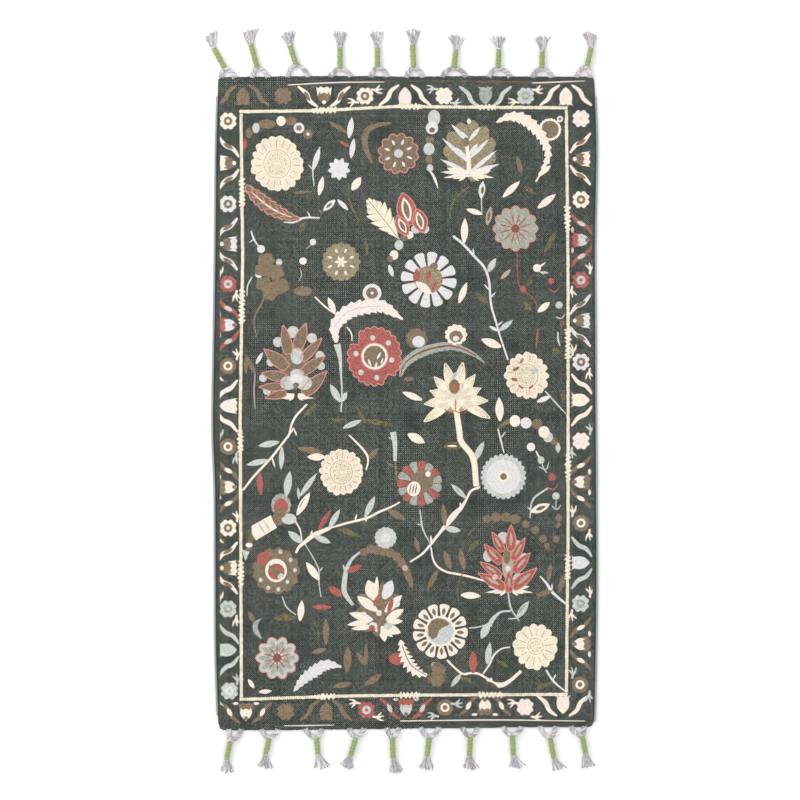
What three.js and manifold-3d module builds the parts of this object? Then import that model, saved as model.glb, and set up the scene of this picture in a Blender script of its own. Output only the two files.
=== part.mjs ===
// A flat-woven cotton rug, printed all over and embroidered in cream, with ten warp tassels at each end.
// Millimetres, +Z up. The origin is the centre of the cloth's underside and +Y points to the head end.
import * as THREE from "three";
import { mergeVertices } from "three/addons/utils/BufferGeometryUtils.js";
import Module from "manifold-3d";

const CLOTH_THICKNESS = 4;
const EDGE_ROUNDING = 1.2;
const SIDE_CORNER_HEAD = 755;
const SIDE_CORNER_FOOT = -735;
const SEAT_GAP = 0.3;
const FOOT_GAP = 0.4;
const STITCH_HEIGHT = 1.6;
const STITCH_ROUNDING = 0.5;

const FRAME_ROW_WIDTH = 9;
const FRAME_THICK_WIDTH = 13.5;
const FRAME_STATION = 110;
const FRAME_EASE = 5;

const PETAL_SEGMENTS = 3;
const RIM_HEIGHT = STITCH_HEIGHT + 0.3;
// The section of a stitched rosette, from the middle of its underside round its rim to the middle of its top.
const ROSETTE_SECTION = [
  { share: 0, height: 0 },
  { share: 1, height: 0 },
  { share: 1, height: 1 },
  { share: 0.92, height: RIM_HEIGHT },
  { share: 0.84, height: 1.2 },
  { share: 0.4, height: RIM_HEIGHT },
  { share: 0, height: 1.3 },
];
const STEM_WIDTH = 13;

const ARCH_HALF_WIDTH = 5.6;
const ARCH_HALF_HEIGHT = 4.6;
const ARCH_FOOT_HALF_HEIGHT = 2.2;
const ARCH_FOOT_SHARE = 0.25;
const KNOT_OVERLAP = 2.2;
const WRAP_START = 5;
const WRAP_RADIUS = 6.5;
const WRAP_WALL = 1;
const WRAP_SIDES = 8;
const CORE_RADIUS = WRAP_RADIUS - WRAP_WALL - SEAT_GAP;
const CORE_OVERHANG = 5;
const STRANDS = 7;
const STRAND_HALF_WIDTH = 2;
const STRAND_HALF_HEIGHT = 0.9;
const STRAND_TAPER = 0.45;
const STRAND_ROOT = { along: 2.5, halfWidth: 3, height: 4.5 };
const FAN_HALF_WIDTH = 15;
const FAN_ROUNDING = 4;
const TIP_UNEVENNESS = 2;

const COLOURS = {
  cloth: 0x4b4c46,
  cream: 0xf0e2ca,
  yarn: 0xe3dcdc,
  wrap: 0xa0b270,
};

// Where the long sides lie along the rug: they bow out and are a little uneven.
const SIDES = [
  { y: SIDE_CORNER_HEAD, left: -440, right: 446 },
  { y: 600, left: -445, right: 452 },
  { y: 380, left: -447, right: 448 },
  { y: 160, left: -450, right: 449 },
  { y: -60, left: -453, right: 450 },
  { y: -200, left: -448, right: 451 },
  { y: -400, left: -447, right: 452 },
  { y: -580, left: -446, right: 450 },
  { y: SIDE_CORNER_FOOT, left: -441, right: 447 },
];

// Where the two ends lie across the rug.
const ENDS = [
  { x: -428, head: 767, foot: -770 },
  { x: -280, head: 769, foot: -770 },
  { x: -130, head: 770, foot: -768 },
  { x: 20, head: 768, foot: -766 },
  { x: 170, head: 770, foot: -765 },
  { x: 310, head: 768, foot: -763 },
  { x: 430, head: 768, foot: -763 },
];

// Each row of frame stitching: its line across the cloth, and the stretches that are worked thicker.
const FRAME_ROWS = [
  {
    name: "frame_stitch_head", along: "x", from: -390, to: 383,
    line: [[-390, 686], [-210, 688], [-21, 698], [383, 695]],
    thick: [[-219, -162], [-12, 40], [172, 214]],
  },
  {
    name: "frame_stitch_foot", along: "x", from: -390, to: 383,
    line: [[-390, -698], [-150, -690], [0, -688], [383, -686]],
    thick: [[-212, -165], [-12, 35], [174, 228]],
  },
  {
    name: "frame_stitch_left", along: "y", from: -693, to: 681,
    line: [[-693, -385], [-30, -388], [350, -382], [681, -386]],
    thick: [[-431, -372], [-115, -64], [188, 266], [464, 532]],
  },
  {
    name: "frame_stitch_right", along: "y", from: -681, to: 690,
    line: [[-681, 380], [-300, 384], [300, 384], [690, 380]],
    thick: [[-415, -358], [-184, -118], [104, 174]],
  },
];

const ROSETTES = [
  {
    name: "rosette_stitch_head", x: -301, y: 563,
    halfWidth: 64, halfLength: 68, petals: 19, notch: 0.1, turn: 0.2,
  },
  {
    name: "rosette_stitch_left", x: -150, y: -163,
    halfWidth: 53, halfLength: 56, petals: 18, notch: 0.09, turn: 0.1,
  },
  {
    name: "rosette_stitch_right", x: 286, y: 64,
    halfWidth: 54, halfLength: 57, petals: 16, notch: 0.11, turn: 0,
  },
  {
    name: "rosette_stitch_foot", x: 307, y: -573,
    halfWidth: 54, halfLength: 57, petals: 14, notch: 0.12, turn: 0.1,
  },
];

const LOTUS = {
  x: 120, y: 7, petals: 10, firstAngle: -28, lastAngle: 214, notch: 48,
  meanReach: 80, reachSwing: 15, swingPeriod: 134, topAngle: 93, baseDrop: 32,
  belly: 0.78, bellySpread: 0.36, baseNotch: 34,
};
const STEM_ROUTE = [[120, -12], [128, -66], [133, -92], [160, -130], [168, -196]];
const LEAF = {
  baseX: -14, baseY: 386, tipX: -88, tipY: 480, halfWidth: 28, teeth: 5,
  toothPoint: 3, toothRise: 0.07, toothFall: 0.1, toothDepth: 0.82,
};

// Each tassel: the x of its two feet, its knot, the far end of its wrapped neck and the tip of its fan,
// with every reach measured outwards from the cloth's centre.
const HEAD_TASSELS = [
  { feet: [-433, -401], knot: [-426, 791], neck: [-450, 834], tip: [-457, 867] },
  { feet: [-360, -323], knot: [-348, 791], neck: [-363, 843], tip: [-365, 876] },
  { feet: [-277, -229], knot: [-257, 798], neck: [-271, 841], tip: [-276, 871] },
  { feet: [-176, -128], knot: [-153, 789], neck: [-153, 836], tip: [-153, 871] },
  { feet: [-80, -43], knot: [-65, 793], neck: [-65, 836], tip: [-66, 871] },
  { feet: [3, 42], knot: [20, 791], neck: [18, 843], tip: [19, 876] },
  { feet: [88, 143], knot: [115, 791], neck: [120, 829], tip: [120, 862] },
  { feet: [198, 247], knot: [219, 790], neck: [221, 831], tip: [218, 860] },
  { feet: [300, 346], knot: [322, 789], neck: [323, 827], tip: [323, 860] },
  { feet: [404, 437], knot: [429, 795], neck: [438, 835], tip: [437, 868] },
];
const FOOT_TASSELS = [
  { feet: [-415, -386], knot: [-412, 798], neck: [-420, 839], tip: [-420, 867] },
  { feet: [-338, -300], knot: [-320, 790], neck: [-328, 826], tip: [-327, 857] },
  { feet: [-235, -196], knot: [-208, 790], neck: [-205, 826], tip: [-195, 857] },
  { feet: [-131, -97], knot: [-116, 789], neck: [-128, 829], tip: [-137, 857] },
  { feet: [-42, -14], knot: [-30, 790], neck: [-28, 835], tip: [-20, 867] },
  { feet: [38, 79], knot: [57, 789], neck: [52, 830], tip: [51, 860] },
  { feet: [135, 171], knot: [154, 787], neck: [152, 830], tip: [156, 860] },
  { feet: [231, 274], knot: [253, 784], neck: [255, 829], tip: [265, 856] },
  { feet: [318, 355], knot: [342, 790], neck: [350, 834], tip: [364, 861] },
  { feet: [391, 422], knot: [418, 786], neck: [425, 824], tip: [433, 855] },
];

const wasm = await Module();
wasm.setup();

function material(name, color) {
  return new THREE.MeshStandardMaterial({ name, color, roughness: 0.9, metalness: 0 });
}

const MATERIALS = {
  cloth: material("printed_cotton", COLOURS.cloth),
  cream: material("cream_yarn", COLOURS.cream),
  yarn: material("undyed_warp_yarn", COLOURS.yarn),
  wrap: material("green_thread", COLOURS.wrap),
};

// Reads a table of [position, value] rows at any position, in straight steps between its rows.
function readLine(rows, position) {
  const next = rows.findIndex(([at]) => at >= position);
  if (next === -1) return rows[rows.length - 1][1];
  if (next === 0) return rows[0][1];
  const [fromAt, fromValue] = rows[next - 1];
  const [toAt, toValue] = rows[next];
  return THREE.MathUtils.mapLinear(position, fromAt, toAt, fromValue, toValue);
}

// A repeatable small number between -1 and 1 for the unevenness of hand work.
function unevenness(seed) {
  const wave = Math.sin(seed * 12.9898) * 43758.5453;
  return 2 * (wave - Math.floor(wave)) - 1;
}

function toManifold(geometry) {
  const bare = geometry.clone().deleteAttribute("normal").deleteAttribute("uv");
  const merged = mergeVertices(bare);
  return new wasm.Manifold(new wasm.Mesh({
    numProp: 3,
    vertProperties: new Float32Array(merged.attributes.position.array),
    triVerts: new Uint32Array(merged.index.array),
  }));
}

function fromManifold(solid) {
  const mesh = solid.getMesh();
  const geometry = new THREE.BufferGeometry();
  geometry.setAttribute("position", new THREE.BufferAttribute(mesh.vertProperties, 3));
  geometry.setIndex(new THREE.BufferAttribute(mesh.triVerts, 1));
  geometry.computeVertexNormals();
  return geometry;
}

function joined(geometries) {
  return fromManifold(geometries.map(toManifold).reduce((whole, piece) => whole.add(piece)));
}

// A flat slab with rounded edges that fills `shape` and stands on z = 0.
function slab(shape, thickness, rounding, curveSegments) {
  const geometry = new THREE.ExtrudeGeometry(shape, {
    depth: thickness - 2 * rounding,
    bevelThickness: rounding,
    bevelSize: rounding,
    bevelOffset: -rounding,
    bevelSegments: 1,
    curveSegments,
  });
  return geometry.translate(0, 0, rounding);
}

function polygon(points) {
  return new THREE.Shape(points.map(([x, y]) => new THREE.Vector2(x, y)));
}

function clothGeometry() {
  const points = (rows, place) => rows.map((row) => new THREE.Vector2(...place(row)));
  const left = points(SIDES, (row) => [row.left, row.y]).reverse();
  const right = points(SIDES, (row) => [row.right, row.y]);
  const head = points(ENDS, (row) => [row.x, row.head]);
  const foot = points(ENDS, (row) => [row.x, row.foot]).reverse();
  const outline = new THREE.Shape().moveTo(left[0].x, left[0].y);
  const edges = [left, head, right, foot];
  edges.forEach((edge, index) => {
    const end = edge[edge.length - 1];
    const start = edges[(index + 1) % edges.length][0];
    const longSide = index % 2 === 0;
    if (longSide) outline.splineThru(edge.slice(1));
    else edge.slice(1).forEach(({ x, y }) => outline.lineTo(x, y));
    const corner = longSide ? [end.x, start.y] : [start.x, end.y];
    outline.quadraticCurveTo(...corner, start.x, start.y);
  });
  return slab(outline, CLOTH_THICKNESS, EDGE_ROUNDING, 3);
}

// A raised piece of stitching lies on the cloth.
function layOnCloth(geometry) {
  return geometry.translate(0, 0, CLOTH_THICKNESS + SEAT_GAP);
}

function frameRowGeometry(row) {
  const stations = [];
  const plain = Math.round((row.to - row.from) / FRAME_STATION);
  for (let step = 0; step <= plain; step += 1) {
    stations.push({ at: THREE.MathUtils.lerp(row.from, row.to, step / plain), width: FRAME_ROW_WIDTH });
  }
  const isClear = ({ at }) => row.thick.every(([from, to]) => at < from - FRAME_EASE || at > to + FRAME_EASE);
  const clear = stations.filter(isClear);
  for (const [from, to] of row.thick) {
    clear.push({ at: from, width: FRAME_ROW_WIDTH }, { at: to, width: FRAME_ROW_WIDTH });
    clear.push({ at: from + FRAME_EASE, width: FRAME_THICK_WIDTH });
    clear.push({ at: to - FRAME_EASE, width: FRAME_THICK_WIDTH });
  }
  clear.sort((one, other) => one.at - other.at);
  const side = (sign) => clear.map(({ at, width }) => {
    const across = readLine(row.line, at) + sign * width / 2;
    return row.along === "x" ? [at, across] : [across, at];
  });
  return slab(polygon([...side(1), ...side(-1).reverse()]), STITCH_HEIGHT, STITCH_ROUNDING, 1);
}

// A flat disc with a corded rim and a corded ring round its centre, notched between its petals.
function rosetteGeometry({ halfWidth, halfLength, petals, notch, turn }) {
  const profile = ROSETTE_SECTION.map(({ share, height }) => new THREE.Vector2(share, height));
  const geometry = new THREE.LatheGeometry(profile, petals * PETAL_SEGMENTS).rotateX(Math.PI / 2);
  const place = geometry.attributes.position;
  for (let index = 0; index < place.count; index += 1) {
    const [x, y] = [place.getX(index), place.getY(index)];
    const angle = Math.atan2(y, x);
    const wave = Math.abs(Math.cos(petals * (angle - Math.PI / 2) / 2));
    const scallop = 1 - notch * (1 - wave) * Math.hypot(x, y);
    const [reachX, reachY] = [halfWidth * scallop * x, halfLength * scallop * y];
    const [cosine, sine] = [Math.cos(turn), Math.sin(turn)];
    place.setXY(index, reachX * cosine - reachY * sine, reachX * sine + reachY * cosine);
  }
  return geometry;
}

// Pointed petals fan out over a flat base, and a thick stem runs down from it.
function lotusGeometry() {
  const spread = THREE.MathUtils.degToRad(LOTUS.lastAngle - LOTUS.firstAngle) / (LOTUS.petals - 1);
  const first = THREE.MathUtils.degToRad(LOTUS.firstAngle);
  const place = (reach, angle) => [LOTUS.x + reach * Math.cos(angle), LOTUS.y + reach * Math.sin(angle)];
  const outline = new THREE.Shape().moveTo(LOTUS.x, LOTUS.y - LOTUS.baseDrop);
  outline.lineTo(...place(LOTUS.baseNotch, first - spread / 2));
  for (let petal = 0; petal < LOTUS.petals; petal += 1) {
    const angle = first + petal * spread;
    const swing = 2 * Math.PI * (THREE.MathUtils.radToDeg(angle) - LOTUS.topAngle) / LOTUS.swingPeriod;
    const reach = LOTUS.meanReach + LOTUS.reachSwing * Math.cos(swing);
    const belly = (side) => place(reach * LOTUS.belly, angle + side * spread * LOTUS.bellySpread);
    const notch = petal === LOTUS.petals - 1 ? LOTUS.baseNotch : LOTUS.notch;
    outline.quadraticCurveTo(...belly(-1), ...place(reach, angle));
    outline.quadraticCurveTo(...belly(1), ...place(notch, angle + spread / 2));
  }
  const stem = new THREE.SplineCurve(STEM_ROUTE.map(([x, y]) => new THREE.Vector2(x, y)));
  const steps = 2 * STEM_ROUTE.length;
  const stemSide = (sign) => Array.from({ length: steps + 1 }, (_, step) => {
    const point = stem.getPoint(step / steps);
    const along = stem.getTangent(step / steps);
    return [point.x - sign * along.y * STEM_WIDTH / 2, point.y + sign * along.x * STEM_WIDTH / 2];
  });
  const stemShape = polygon([...stemSide(-1), ...stemSide(1).reverse()]);
  return joined([
    slab(outline, STITCH_HEIGHT, STITCH_ROUNDING, 2),
    slab(stemShape, STITCH_HEIGHT, STITCH_ROUNDING, 1),
  ]);
}

// A leaf that is widest near its base, with saw teeth along both sides.
function leafGeometry() {
  const base = new THREE.Vector2(LEAF.baseX, LEAF.baseY);
  const axis = new THREE.Vector2(LEAF.tipX, LEAF.tipY).sub(base);
  const across = new THREE.Vector2(-axis.y, axis.x).normalize();
  const place = (along, out) => {
    const point = base.clone().addScaledVector(axis, along).addScaledVector(across, out);
    return [point.x, point.y];
  };
  const side = (sign) => {
    const points = [];
    for (let tooth = 0; tooth < LEAF.teeth; tooth += 1) {
      const along = (tooth + 0.6) / (LEAF.teeth + 0.6);
      const reach = LEAF.halfWidth * Math.sin(Math.PI * (1 - along) ** 0.75);
      points.push(place(along + LEAF.toothRise, sign * (reach + LEAF.toothPoint)));
      points.push(place(along + LEAF.toothFall, sign * reach * LEAF.toothDepth));
    }
    return points;
  };
  return slab(polygon([place(0, 0), ...side(-1), place(1, 0), ...side(1).reverse()]),
    STITCH_HEIGHT, STITCH_ROUNDING, 1);
}

// Bends a straight prism so that its axis follows `place(t)` for t from 0 to 1, with a flat side down.
// `halfWidth(t)` and `halfHeight(t)` are its section, and each place gives the height of its axis.
function sweptYarn({ sides, steps, place, halfWidth, halfHeight }) {
  const geometry = new THREE.CylinderGeometry(1, 1, 1, sides, steps, false, Math.PI + Math.PI / sides);
  const points = geometry.attributes.position;
  const step = 0.01;
  for (let index = 0; index < points.count; index += 1) {
    const t = points.getY(index) + 0.5;
    const axis = place(t);
    const ahead = place(Math.min(t + step, 1)).sub(place(Math.max(t - step, 0)));
    const side = new THREE.Vector3(ahead.y, -ahead.x, 0).normalize();
    const rise = points.getZ(index) * halfHeight(t) / Math.cos(Math.PI / sides);
    const point = axis.addScaledVector(side, points.getX(index) * halfWidth(t));
    points.setXYZ(index, point.x, point.y, point.z + rise);
  }
  return geometry;
}

// The outline of one end of the cloth at a distance across it.
function endEdge(end, x) {
  return Math.abs(readLine(ENDS.map((row) => [row.x, row[end]]), x));
}

// Two bundles of warp ends leave the cloth and meet in a low arch behind the knot.
function archGeometry(tassel, end, out) {
  const seat = (x) => endEdge(end, x) + FOOT_GAP;
  const [knotX, knotReach] = tassel.knot;
  const crown = new THREE.Vector3(knotX, knotReach - KNOT_OVERLAP, 0);
  const bundle = (footX) => {
    const foot = new THREE.Vector3(footX, seat(footX), 0);
    const ahead = new THREE.Vector3(footX, THREE.MathUtils.lerp(foot.y, crown.y, 0.75), 0);
    const aside = new THREE.Vector3(THREE.MathUtils.lerp(knotX, footX, 0.5), crown.y, 0);
    return new THREE.CubicBezierCurve3(foot, ahead, aside, crown);
  };
  const [one, other] = tassel.feet.map(bundle);
  const arch = (t) => (t < 0.5 ? one.getPoint(2 * t) : other.getPoint(2 - 2 * t));
  const halfHeight = (t) => {
    const fromFoot = Math.min(t, 1 - t) / ARCH_FOOT_SHARE;
    return THREE.MathUtils.lerp(ARCH_FOOT_HALF_HEIGHT, ARCH_HALF_HEIGHT, Math.min(fromFoot, 1));
  };
  const place = (t) => {
    const point = arch(out > 0 ? t : 1 - t);
    return new THREE.Vector3(point.x, out * point.y, halfHeight(t));
  };
  return sweptYarn({ sides: 6, steps: 6, place, halfWidth: () => ARCH_HALF_WIDTH, halfHeight });
}

function neckLine(tassel, out) {
  const knot = new THREE.Vector3(tassel.knot[0], out * tassel.knot[1], WRAP_RADIUS);
  const end = new THREE.Vector3(tassel.neck[0], out * tassel.neck[1], WRAP_RADIUS);
  return { knot, end, ahead: end.clone().sub(knot).normalize() };
}

// The core runs from inside the arch, through the wrap, to where the loose ends begin.
function coreGeometry(tassel, out) {
  const { knot, end, ahead } = neckLine(tassel, out);
  const from = knot.clone().addScaledVector(ahead, -ARCH_HALF_WIDTH);
  const to = end.clone().addScaledVector(ahead, CORE_OVERHANG);
  const place = (t) => from.clone().lerp(to, t);
  const radius = () => CORE_RADIUS;
  return sweptYarn({ sides: WRAP_SIDES, steps: 1, place, halfWidth: radius, halfHeight: radius });
}

// One loose yarn end falls from the core to the floor and lies level on it.
function strandGeometry(tassel, out, strand, seed) {
  const { end, ahead } = neckLine(tassel, out);
  const side = new THREE.Vector3(ahead.y, -ahead.x, 0);
  const share = 2 * strand / (STRANDS - 1) - 1;
  const root = end.clone().addScaledVector(ahead, STRAND_ROOT.along);
  root.addScaledVector(side, share * STRAND_ROOT.halfWidth);
  const fan = new THREE.Vector3(tassel.tip[0], out * tassel.tip[1], WRAP_RADIUS).sub(end);
  const reach = fan.dot(ahead) - FAN_ROUNDING * share * share + TIP_UNEVENNESS * unevenness(seed);
  const spread = fan.dot(side) + share * FAN_HALF_WIDTH;
  const tip = end.clone().addScaledVector(ahead, reach).addScaledVector(side, spread);
  const halfHeight = () => STRAND_HALF_HEIGHT;
  const place = (t) => {
    const point = root.clone().lerp(tip, t);
    point.z = THREE.MathUtils.lerp(STRAND_ROOT.height, STRAND_HALF_HEIGHT, Math.min(2 * t, 1));
    return point;
  };
  const halfWidth = (t) => STRAND_HALF_WIDTH * (1 - STRAND_TAPER * t);
  return sweptYarn({ sides: 3, steps: 2, place, halfWidth, halfHeight });
}

function tasselYarnGeometry(tassel, end, out, seed) {
  const pieces = [archGeometry(tassel, end, out), coreGeometry(tassel, out)];
  for (let strand = 0; strand < STRANDS; strand += 1) {
    pieces.push(strandGeometry(tassel, out, strand, seed + strand));
  }
  return joined(pieces);
}

// A sleeve of thread lies round the core, from the knot to the loose ends.
function wrapMesh(name, tassel, out) {
  const { knot, end, ahead } = neckLine(tassel, out);
  const start = knot.clone().addScaledVector(ahead, WRAP_START);
  const length = start.distanceTo(end);
  const flat = 1 / Math.cos(Math.PI / WRAP_SIDES);
  const [inner, outer] = [(WRAP_RADIUS - WRAP_WALL) * flat, WRAP_RADIUS * flat];
  const profile = [[inner, 0], [outer, 0], [outer, length], [inner, length], [inner, 0]]
    .map(([radius, along]) => new THREE.Vector2(radius, along));
  const geometry = new THREE.LatheGeometry(profile, WRAP_SIDES, Math.PI / WRAP_SIDES);
  const mesh = new THREE.Mesh(geometry, MATERIALS.wrap);
  mesh.name = name;
  mesh.position.copy(start);
  mesh.rotation.z = Math.atan2(ahead.y, ahead.x) - Math.PI / 2;
  return mesh;
}

function named(name, geometry, surface) {
  const mesh = new THREE.Mesh(geometry, surface);
  mesh.name = name;
  return mesh;
}

function stitching() {
  const group = new THREE.Group();
  for (const row of FRAME_ROWS) {
    group.add(named(row.name, layOnCloth(frameRowGeometry(row)), MATERIALS.cream));
  }
  for (const rosette of ROSETTES) {
    const mesh = named(rosette.name, layOnCloth(rosetteGeometry(rosette)), MATERIALS.cream);
    mesh.position.set(rosette.x, rosette.y, 0);
    group.add(mesh);
  }
  group.add(named("lotus_stitch", layOnCloth(lotusGeometry()), MATERIALS.cream));
  group.add(named("leaf_stitch", layOnCloth(leafGeometry()), MATERIALS.cream));
  return group;
}

function tasselRow(tassels, end, out) {
  const group = new THREE.Group();
  tassels.forEach((tassel, index) => {
    const label = `${end}_${String(index + 1).padStart(2, "0")}`;
    const seed = (out > 0 ? 0 : tassels.length * STRANDS) + index * STRANDS;
    const yarn = tasselYarnGeometry(tassel, end, out, seed);
    group.add(named(`tassel_yarn_${label}`, yarn, MATERIALS.yarn));
    group.add(wrapMesh(`tassel_wrap_${label}`, tassel, out));
  });
  return group;
}

const rug = new THREE.Group();
rug.add(named("rug_cloth", clothGeometry(), MATERIALS.cloth));
rug.add(stitching());
rug.add(tasselRow(HEAD_TASSELS, "head", 1));
rug.add(tasselRow(FOOT_TASSELS, "foot", -1));

export default rug;
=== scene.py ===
"""Looks of a printed and embroidered cotton rug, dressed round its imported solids.

Lengths are in metres. The cloth lies on z = 0 with its length along Y. The printed design is
charted in squares of one photograph pixel, x to the right and y down from the top left corner,
and a table's columns are named where it is read.
"""

import logging
import math
from dataclasses import dataclass, field
from enum import Enum

import bpy
import numpy as np
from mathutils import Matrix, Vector
from mathutils.geometry import delaunay_2d_cdt


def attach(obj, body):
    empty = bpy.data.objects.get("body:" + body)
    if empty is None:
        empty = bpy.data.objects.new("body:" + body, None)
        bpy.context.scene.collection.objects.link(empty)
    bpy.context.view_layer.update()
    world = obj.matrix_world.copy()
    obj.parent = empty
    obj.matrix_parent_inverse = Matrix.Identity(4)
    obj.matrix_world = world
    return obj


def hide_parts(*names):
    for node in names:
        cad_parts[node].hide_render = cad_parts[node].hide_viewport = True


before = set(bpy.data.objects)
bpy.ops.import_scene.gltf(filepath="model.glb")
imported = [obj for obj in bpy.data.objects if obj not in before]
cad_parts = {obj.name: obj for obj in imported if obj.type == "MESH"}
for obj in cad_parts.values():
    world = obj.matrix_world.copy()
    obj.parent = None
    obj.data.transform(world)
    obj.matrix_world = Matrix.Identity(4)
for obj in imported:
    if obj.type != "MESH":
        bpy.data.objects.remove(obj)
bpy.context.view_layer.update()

log = logging.getLogger("rug")

MM = 0.001
HEM_START = 0.758
PIXEL = 0.002355
PHOTO_CENTRE = (405.0, 403.0)
FRAME_MIDDLE = (400.0, 400.0)
IMAGE_SIDE = 800
Points = np.ndarray


def linear(red: float, green: float, blue: float) -> tuple[float, float, float]:
    """Turns a display colour into linear light.

    Args:
        red: Display red, from 0 to 255.
        green: Display green, from 0 to 255.
        blue: Display blue, from 0 to 255.

    Returns:
        The same colour as three linear values from 0 to 1.
    """
    share = [value / 255 for value in (red, green, blue)]
    return tuple(v / 12.92 if v <= 0.04045 else ((v + 0.055) / 1.055) ** 2.4 for v in share)


class Dye(Enum):
    """Printed dyes: display red, green and blue, and the share of the ground they cover."""

    CREAM = (246, 232, 216, 0.97)
    ROSE = (243, 228, 222, 0.96)
    WHITE = (226, 223, 223, 0.96)
    GREY = (204, 208, 202, 0.93)
    SLATE = (172, 176, 164, 0.88)
    TAN = (190, 172, 152, 0.92)
    BROWN = (138, 119, 96, 0.84)
    KHAKI = (160, 146, 116, 0.84)
    OLIVE = (118, 110, 72, 0.70)
    RED = (182, 100, 92, 0.86)
    RUST = (148, 92, 76, 0.80)
    INK = (62, 64, 60, 0.90)

    def colour(self) -> tuple[float, float, float, float]:
        """Returns linear red, green and blue, with the cover as the fourth value."""
        return (*linear(*self.value[:3]), self.value[3])


class Yarn(Enum):
    """Embroidery yarns by display colour."""

    CREAM = (253, 243, 219)
    BLUSH = (252, 237, 217)
    PINK = (226, 154, 144)
    RED = (190, 100, 84)
    BROWN = (150, 124, 92)
    # Painted shade: a darker yarn for pads, gap lines, grooves and a leaf rib, standing for the shadow
    # between stitches.
    SHADE = (176, 160, 138)
    SKY = (196, 206, 214)
    DUSK = (56, 60, 58)

    def colour(self) -> tuple[float, float, float, float]:
        """Returns linear red, green and blue, and a full alpha."""
        return (*linear(*self.value), 1.0)


CREAM, ROSE, WHITE, GREY, SLATE = Dye.CREAM, Dye.ROSE, Dye.WHITE, Dye.GREY, Dye.SLATE
TAN, BROWN, OLIVE, RED, RUST, INK = Dye.TAN, Dye.BROWN, Dye.OLIVE, Dye.RED, Dye.RUST, Dye.INK
KHAKI = Dye.KHAKI


def on_cloth(chart: Points) -> Points:
    """Turns chart squares into metres on the cloth."""
    return (np.asarray(chart, float) - PHOTO_CENTRE) * (PIXEL, -PIXEL)


def turned(points: Points, degrees: float) -> Points:
    """Turns points about the origin, from the first axis towards the second."""
    c, s = math.cos(math.radians(degrees)), math.sin(math.radians(degrees))
    return np.asarray(points, float) @ np.array([[c, s], [-s, c]])


def smooth(points: Points, steps: int = 5) -> Points:
    """Runs a smooth curve through points.

    Args:
        points: Two or more points in two or three dimensions.
        steps: Parts between each pair of points.

    Returns:
        Points along the curve, its first and last point among them.
    """
    p = np.asarray(points, float)
    if len(p) < 3:
        return p[0] + (p[-1] - p[0]) * np.linspace(0, 1, steps + 1)[:, None]
    q = np.vstack([2 * p[0] - p[1], p, 2 * p[-1] - p[-2]])
    t = np.linspace(0, 1, steps, endpoint=False)[:, None]
    runs = []
    for a, b, c, d in zip(q, q[1:], q[2:], q[3:]):
        runs.append(0.5 * (2 * b + (c - a) * t + (2 * a - 5 * b + 4 * c - d) * t**2
                           + (3 * b - a - 3 * c + d) * t**3))
    return np.vstack([*runs, p[-1:]])


def travelled(path: Points) -> Points:
    """Returns the distance along a path at each of its points."""
    return np.concatenate([[0], np.cumsum(np.linalg.norm(np.diff(path, axis=0), axis=1))])


def across(path: Points) -> Points:
    """Finds the direction to the left of a flat path at each of its points.

    Args:
        path: Points along it.

    Returns:
        The directions, each of length 1.
    """
    ahead = np.gradient(path, axis=0)
    ahead /= np.maximum(np.linalg.norm(ahead, axis=1, keepdims=True), 1e-12)
    return np.column_stack([-ahead[:, 1], ahead[:, 0]])


def paced(path: Points, pace: float) -> tuple[Points, Points]:
    """Walks along a path at an even pace.

    Args:
        path: Points along it.
        pace: Distance between places.

    Returns:
        The places, and the heading at each in radians.
    """
    way = travelled(path)
    count = max(int(round(way[-1] / pace)), 1)
    at = (np.arange(count) + 0.5) * way[-1] / count
    places = np.column_stack([np.interp(at, way, path[:, k]) for k in range(2)])
    ahead = np.column_stack([np.interp(at, way, np.gradient(path[:, k])) for k in range(2)])
    return places, np.arctan2(ahead[:, 1], ahead[:, 0])


def leaf(base: Points, tip: Points, width: float, bend: float = 0.0, steps: int = 7,
         lance: bool = False) -> Points:
    """Outlines a pointed leaf, or a petal with a broad base and a long straight point.

    Args:
        base: Where it grows from.
        tip: Its point.
        width: Greatest width.
        bend: How far its middle stands aside.
        steps: Stations along it.
        lance: Whether it is such a petal.

    Returns:
        The closed outline.
    """
    base, tip = np.array(base, float), np.array(tip, float)
    along = tip - base
    side = np.array([-along[1], along[0]]) / max(math.hypot(*along), 1e-9)
    t = np.linspace(0, 1, steps)
    half = 0.5 * width * np.sin(np.pi * t**0.9) ** 0.8
    half[0] = 0.12 * width
    if lance:
        half = 0.5 * width * np.interp(t, (0, 0.2, 0.42, 0.68, 0.88, 1), (0.6, 0.9, 1, 0.7, 0.3, 0))
    half[-1] = 0
    middle = base + t[:, None] * along + side * (bend * np.sin(np.pi * t))[:, None]
    edge = side * half[:, None]
    return np.vstack([middle + edge, (middle - edge)[-2::-1]])


def ribbon(points: Points, widths: tuple[float, ...], teeth: int = 0, depth: float = 0.0,
           sides: tuple[int, ...] = (1,)) -> Points:
    """Outlines a curved stem or a serrated leaf.

    Args:
        points: The middle line.
        widths: Widths spread evenly from its start to its end.
        teeth: Saw teeth along it.
        depth: How far a tooth stands out.
        sides: Sides with teeth, 1 to the left and -1 to the right.

    Returns:
        The closed outline.
    """
    path = smooth(points, 4)
    if teeth:
        way = travelled(path)
        at = np.linspace(0, way[-1], 2 * teeth + 1)
        at[1::2] += 0.35 * way[-1] / teeth
        path = np.column_stack([np.interp(at, way, path[:, k]) for k in range(2)])
    share = travelled(path) / travelled(path)[-1]
    half = np.interp(share, np.linspace(0, 1, len(widths)), widths) / 2
    saw = depth * (np.arange(len(path)) % 2) * np.sin(np.pi * share) ** 0.5
    normal = across(path)
    left = path + normal * (half + saw * (1 in sides))[:, None]
    right = path - normal * (half + saw * (-1 in sides))[:, None]
    return np.vstack([left, right[::-1]])


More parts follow.
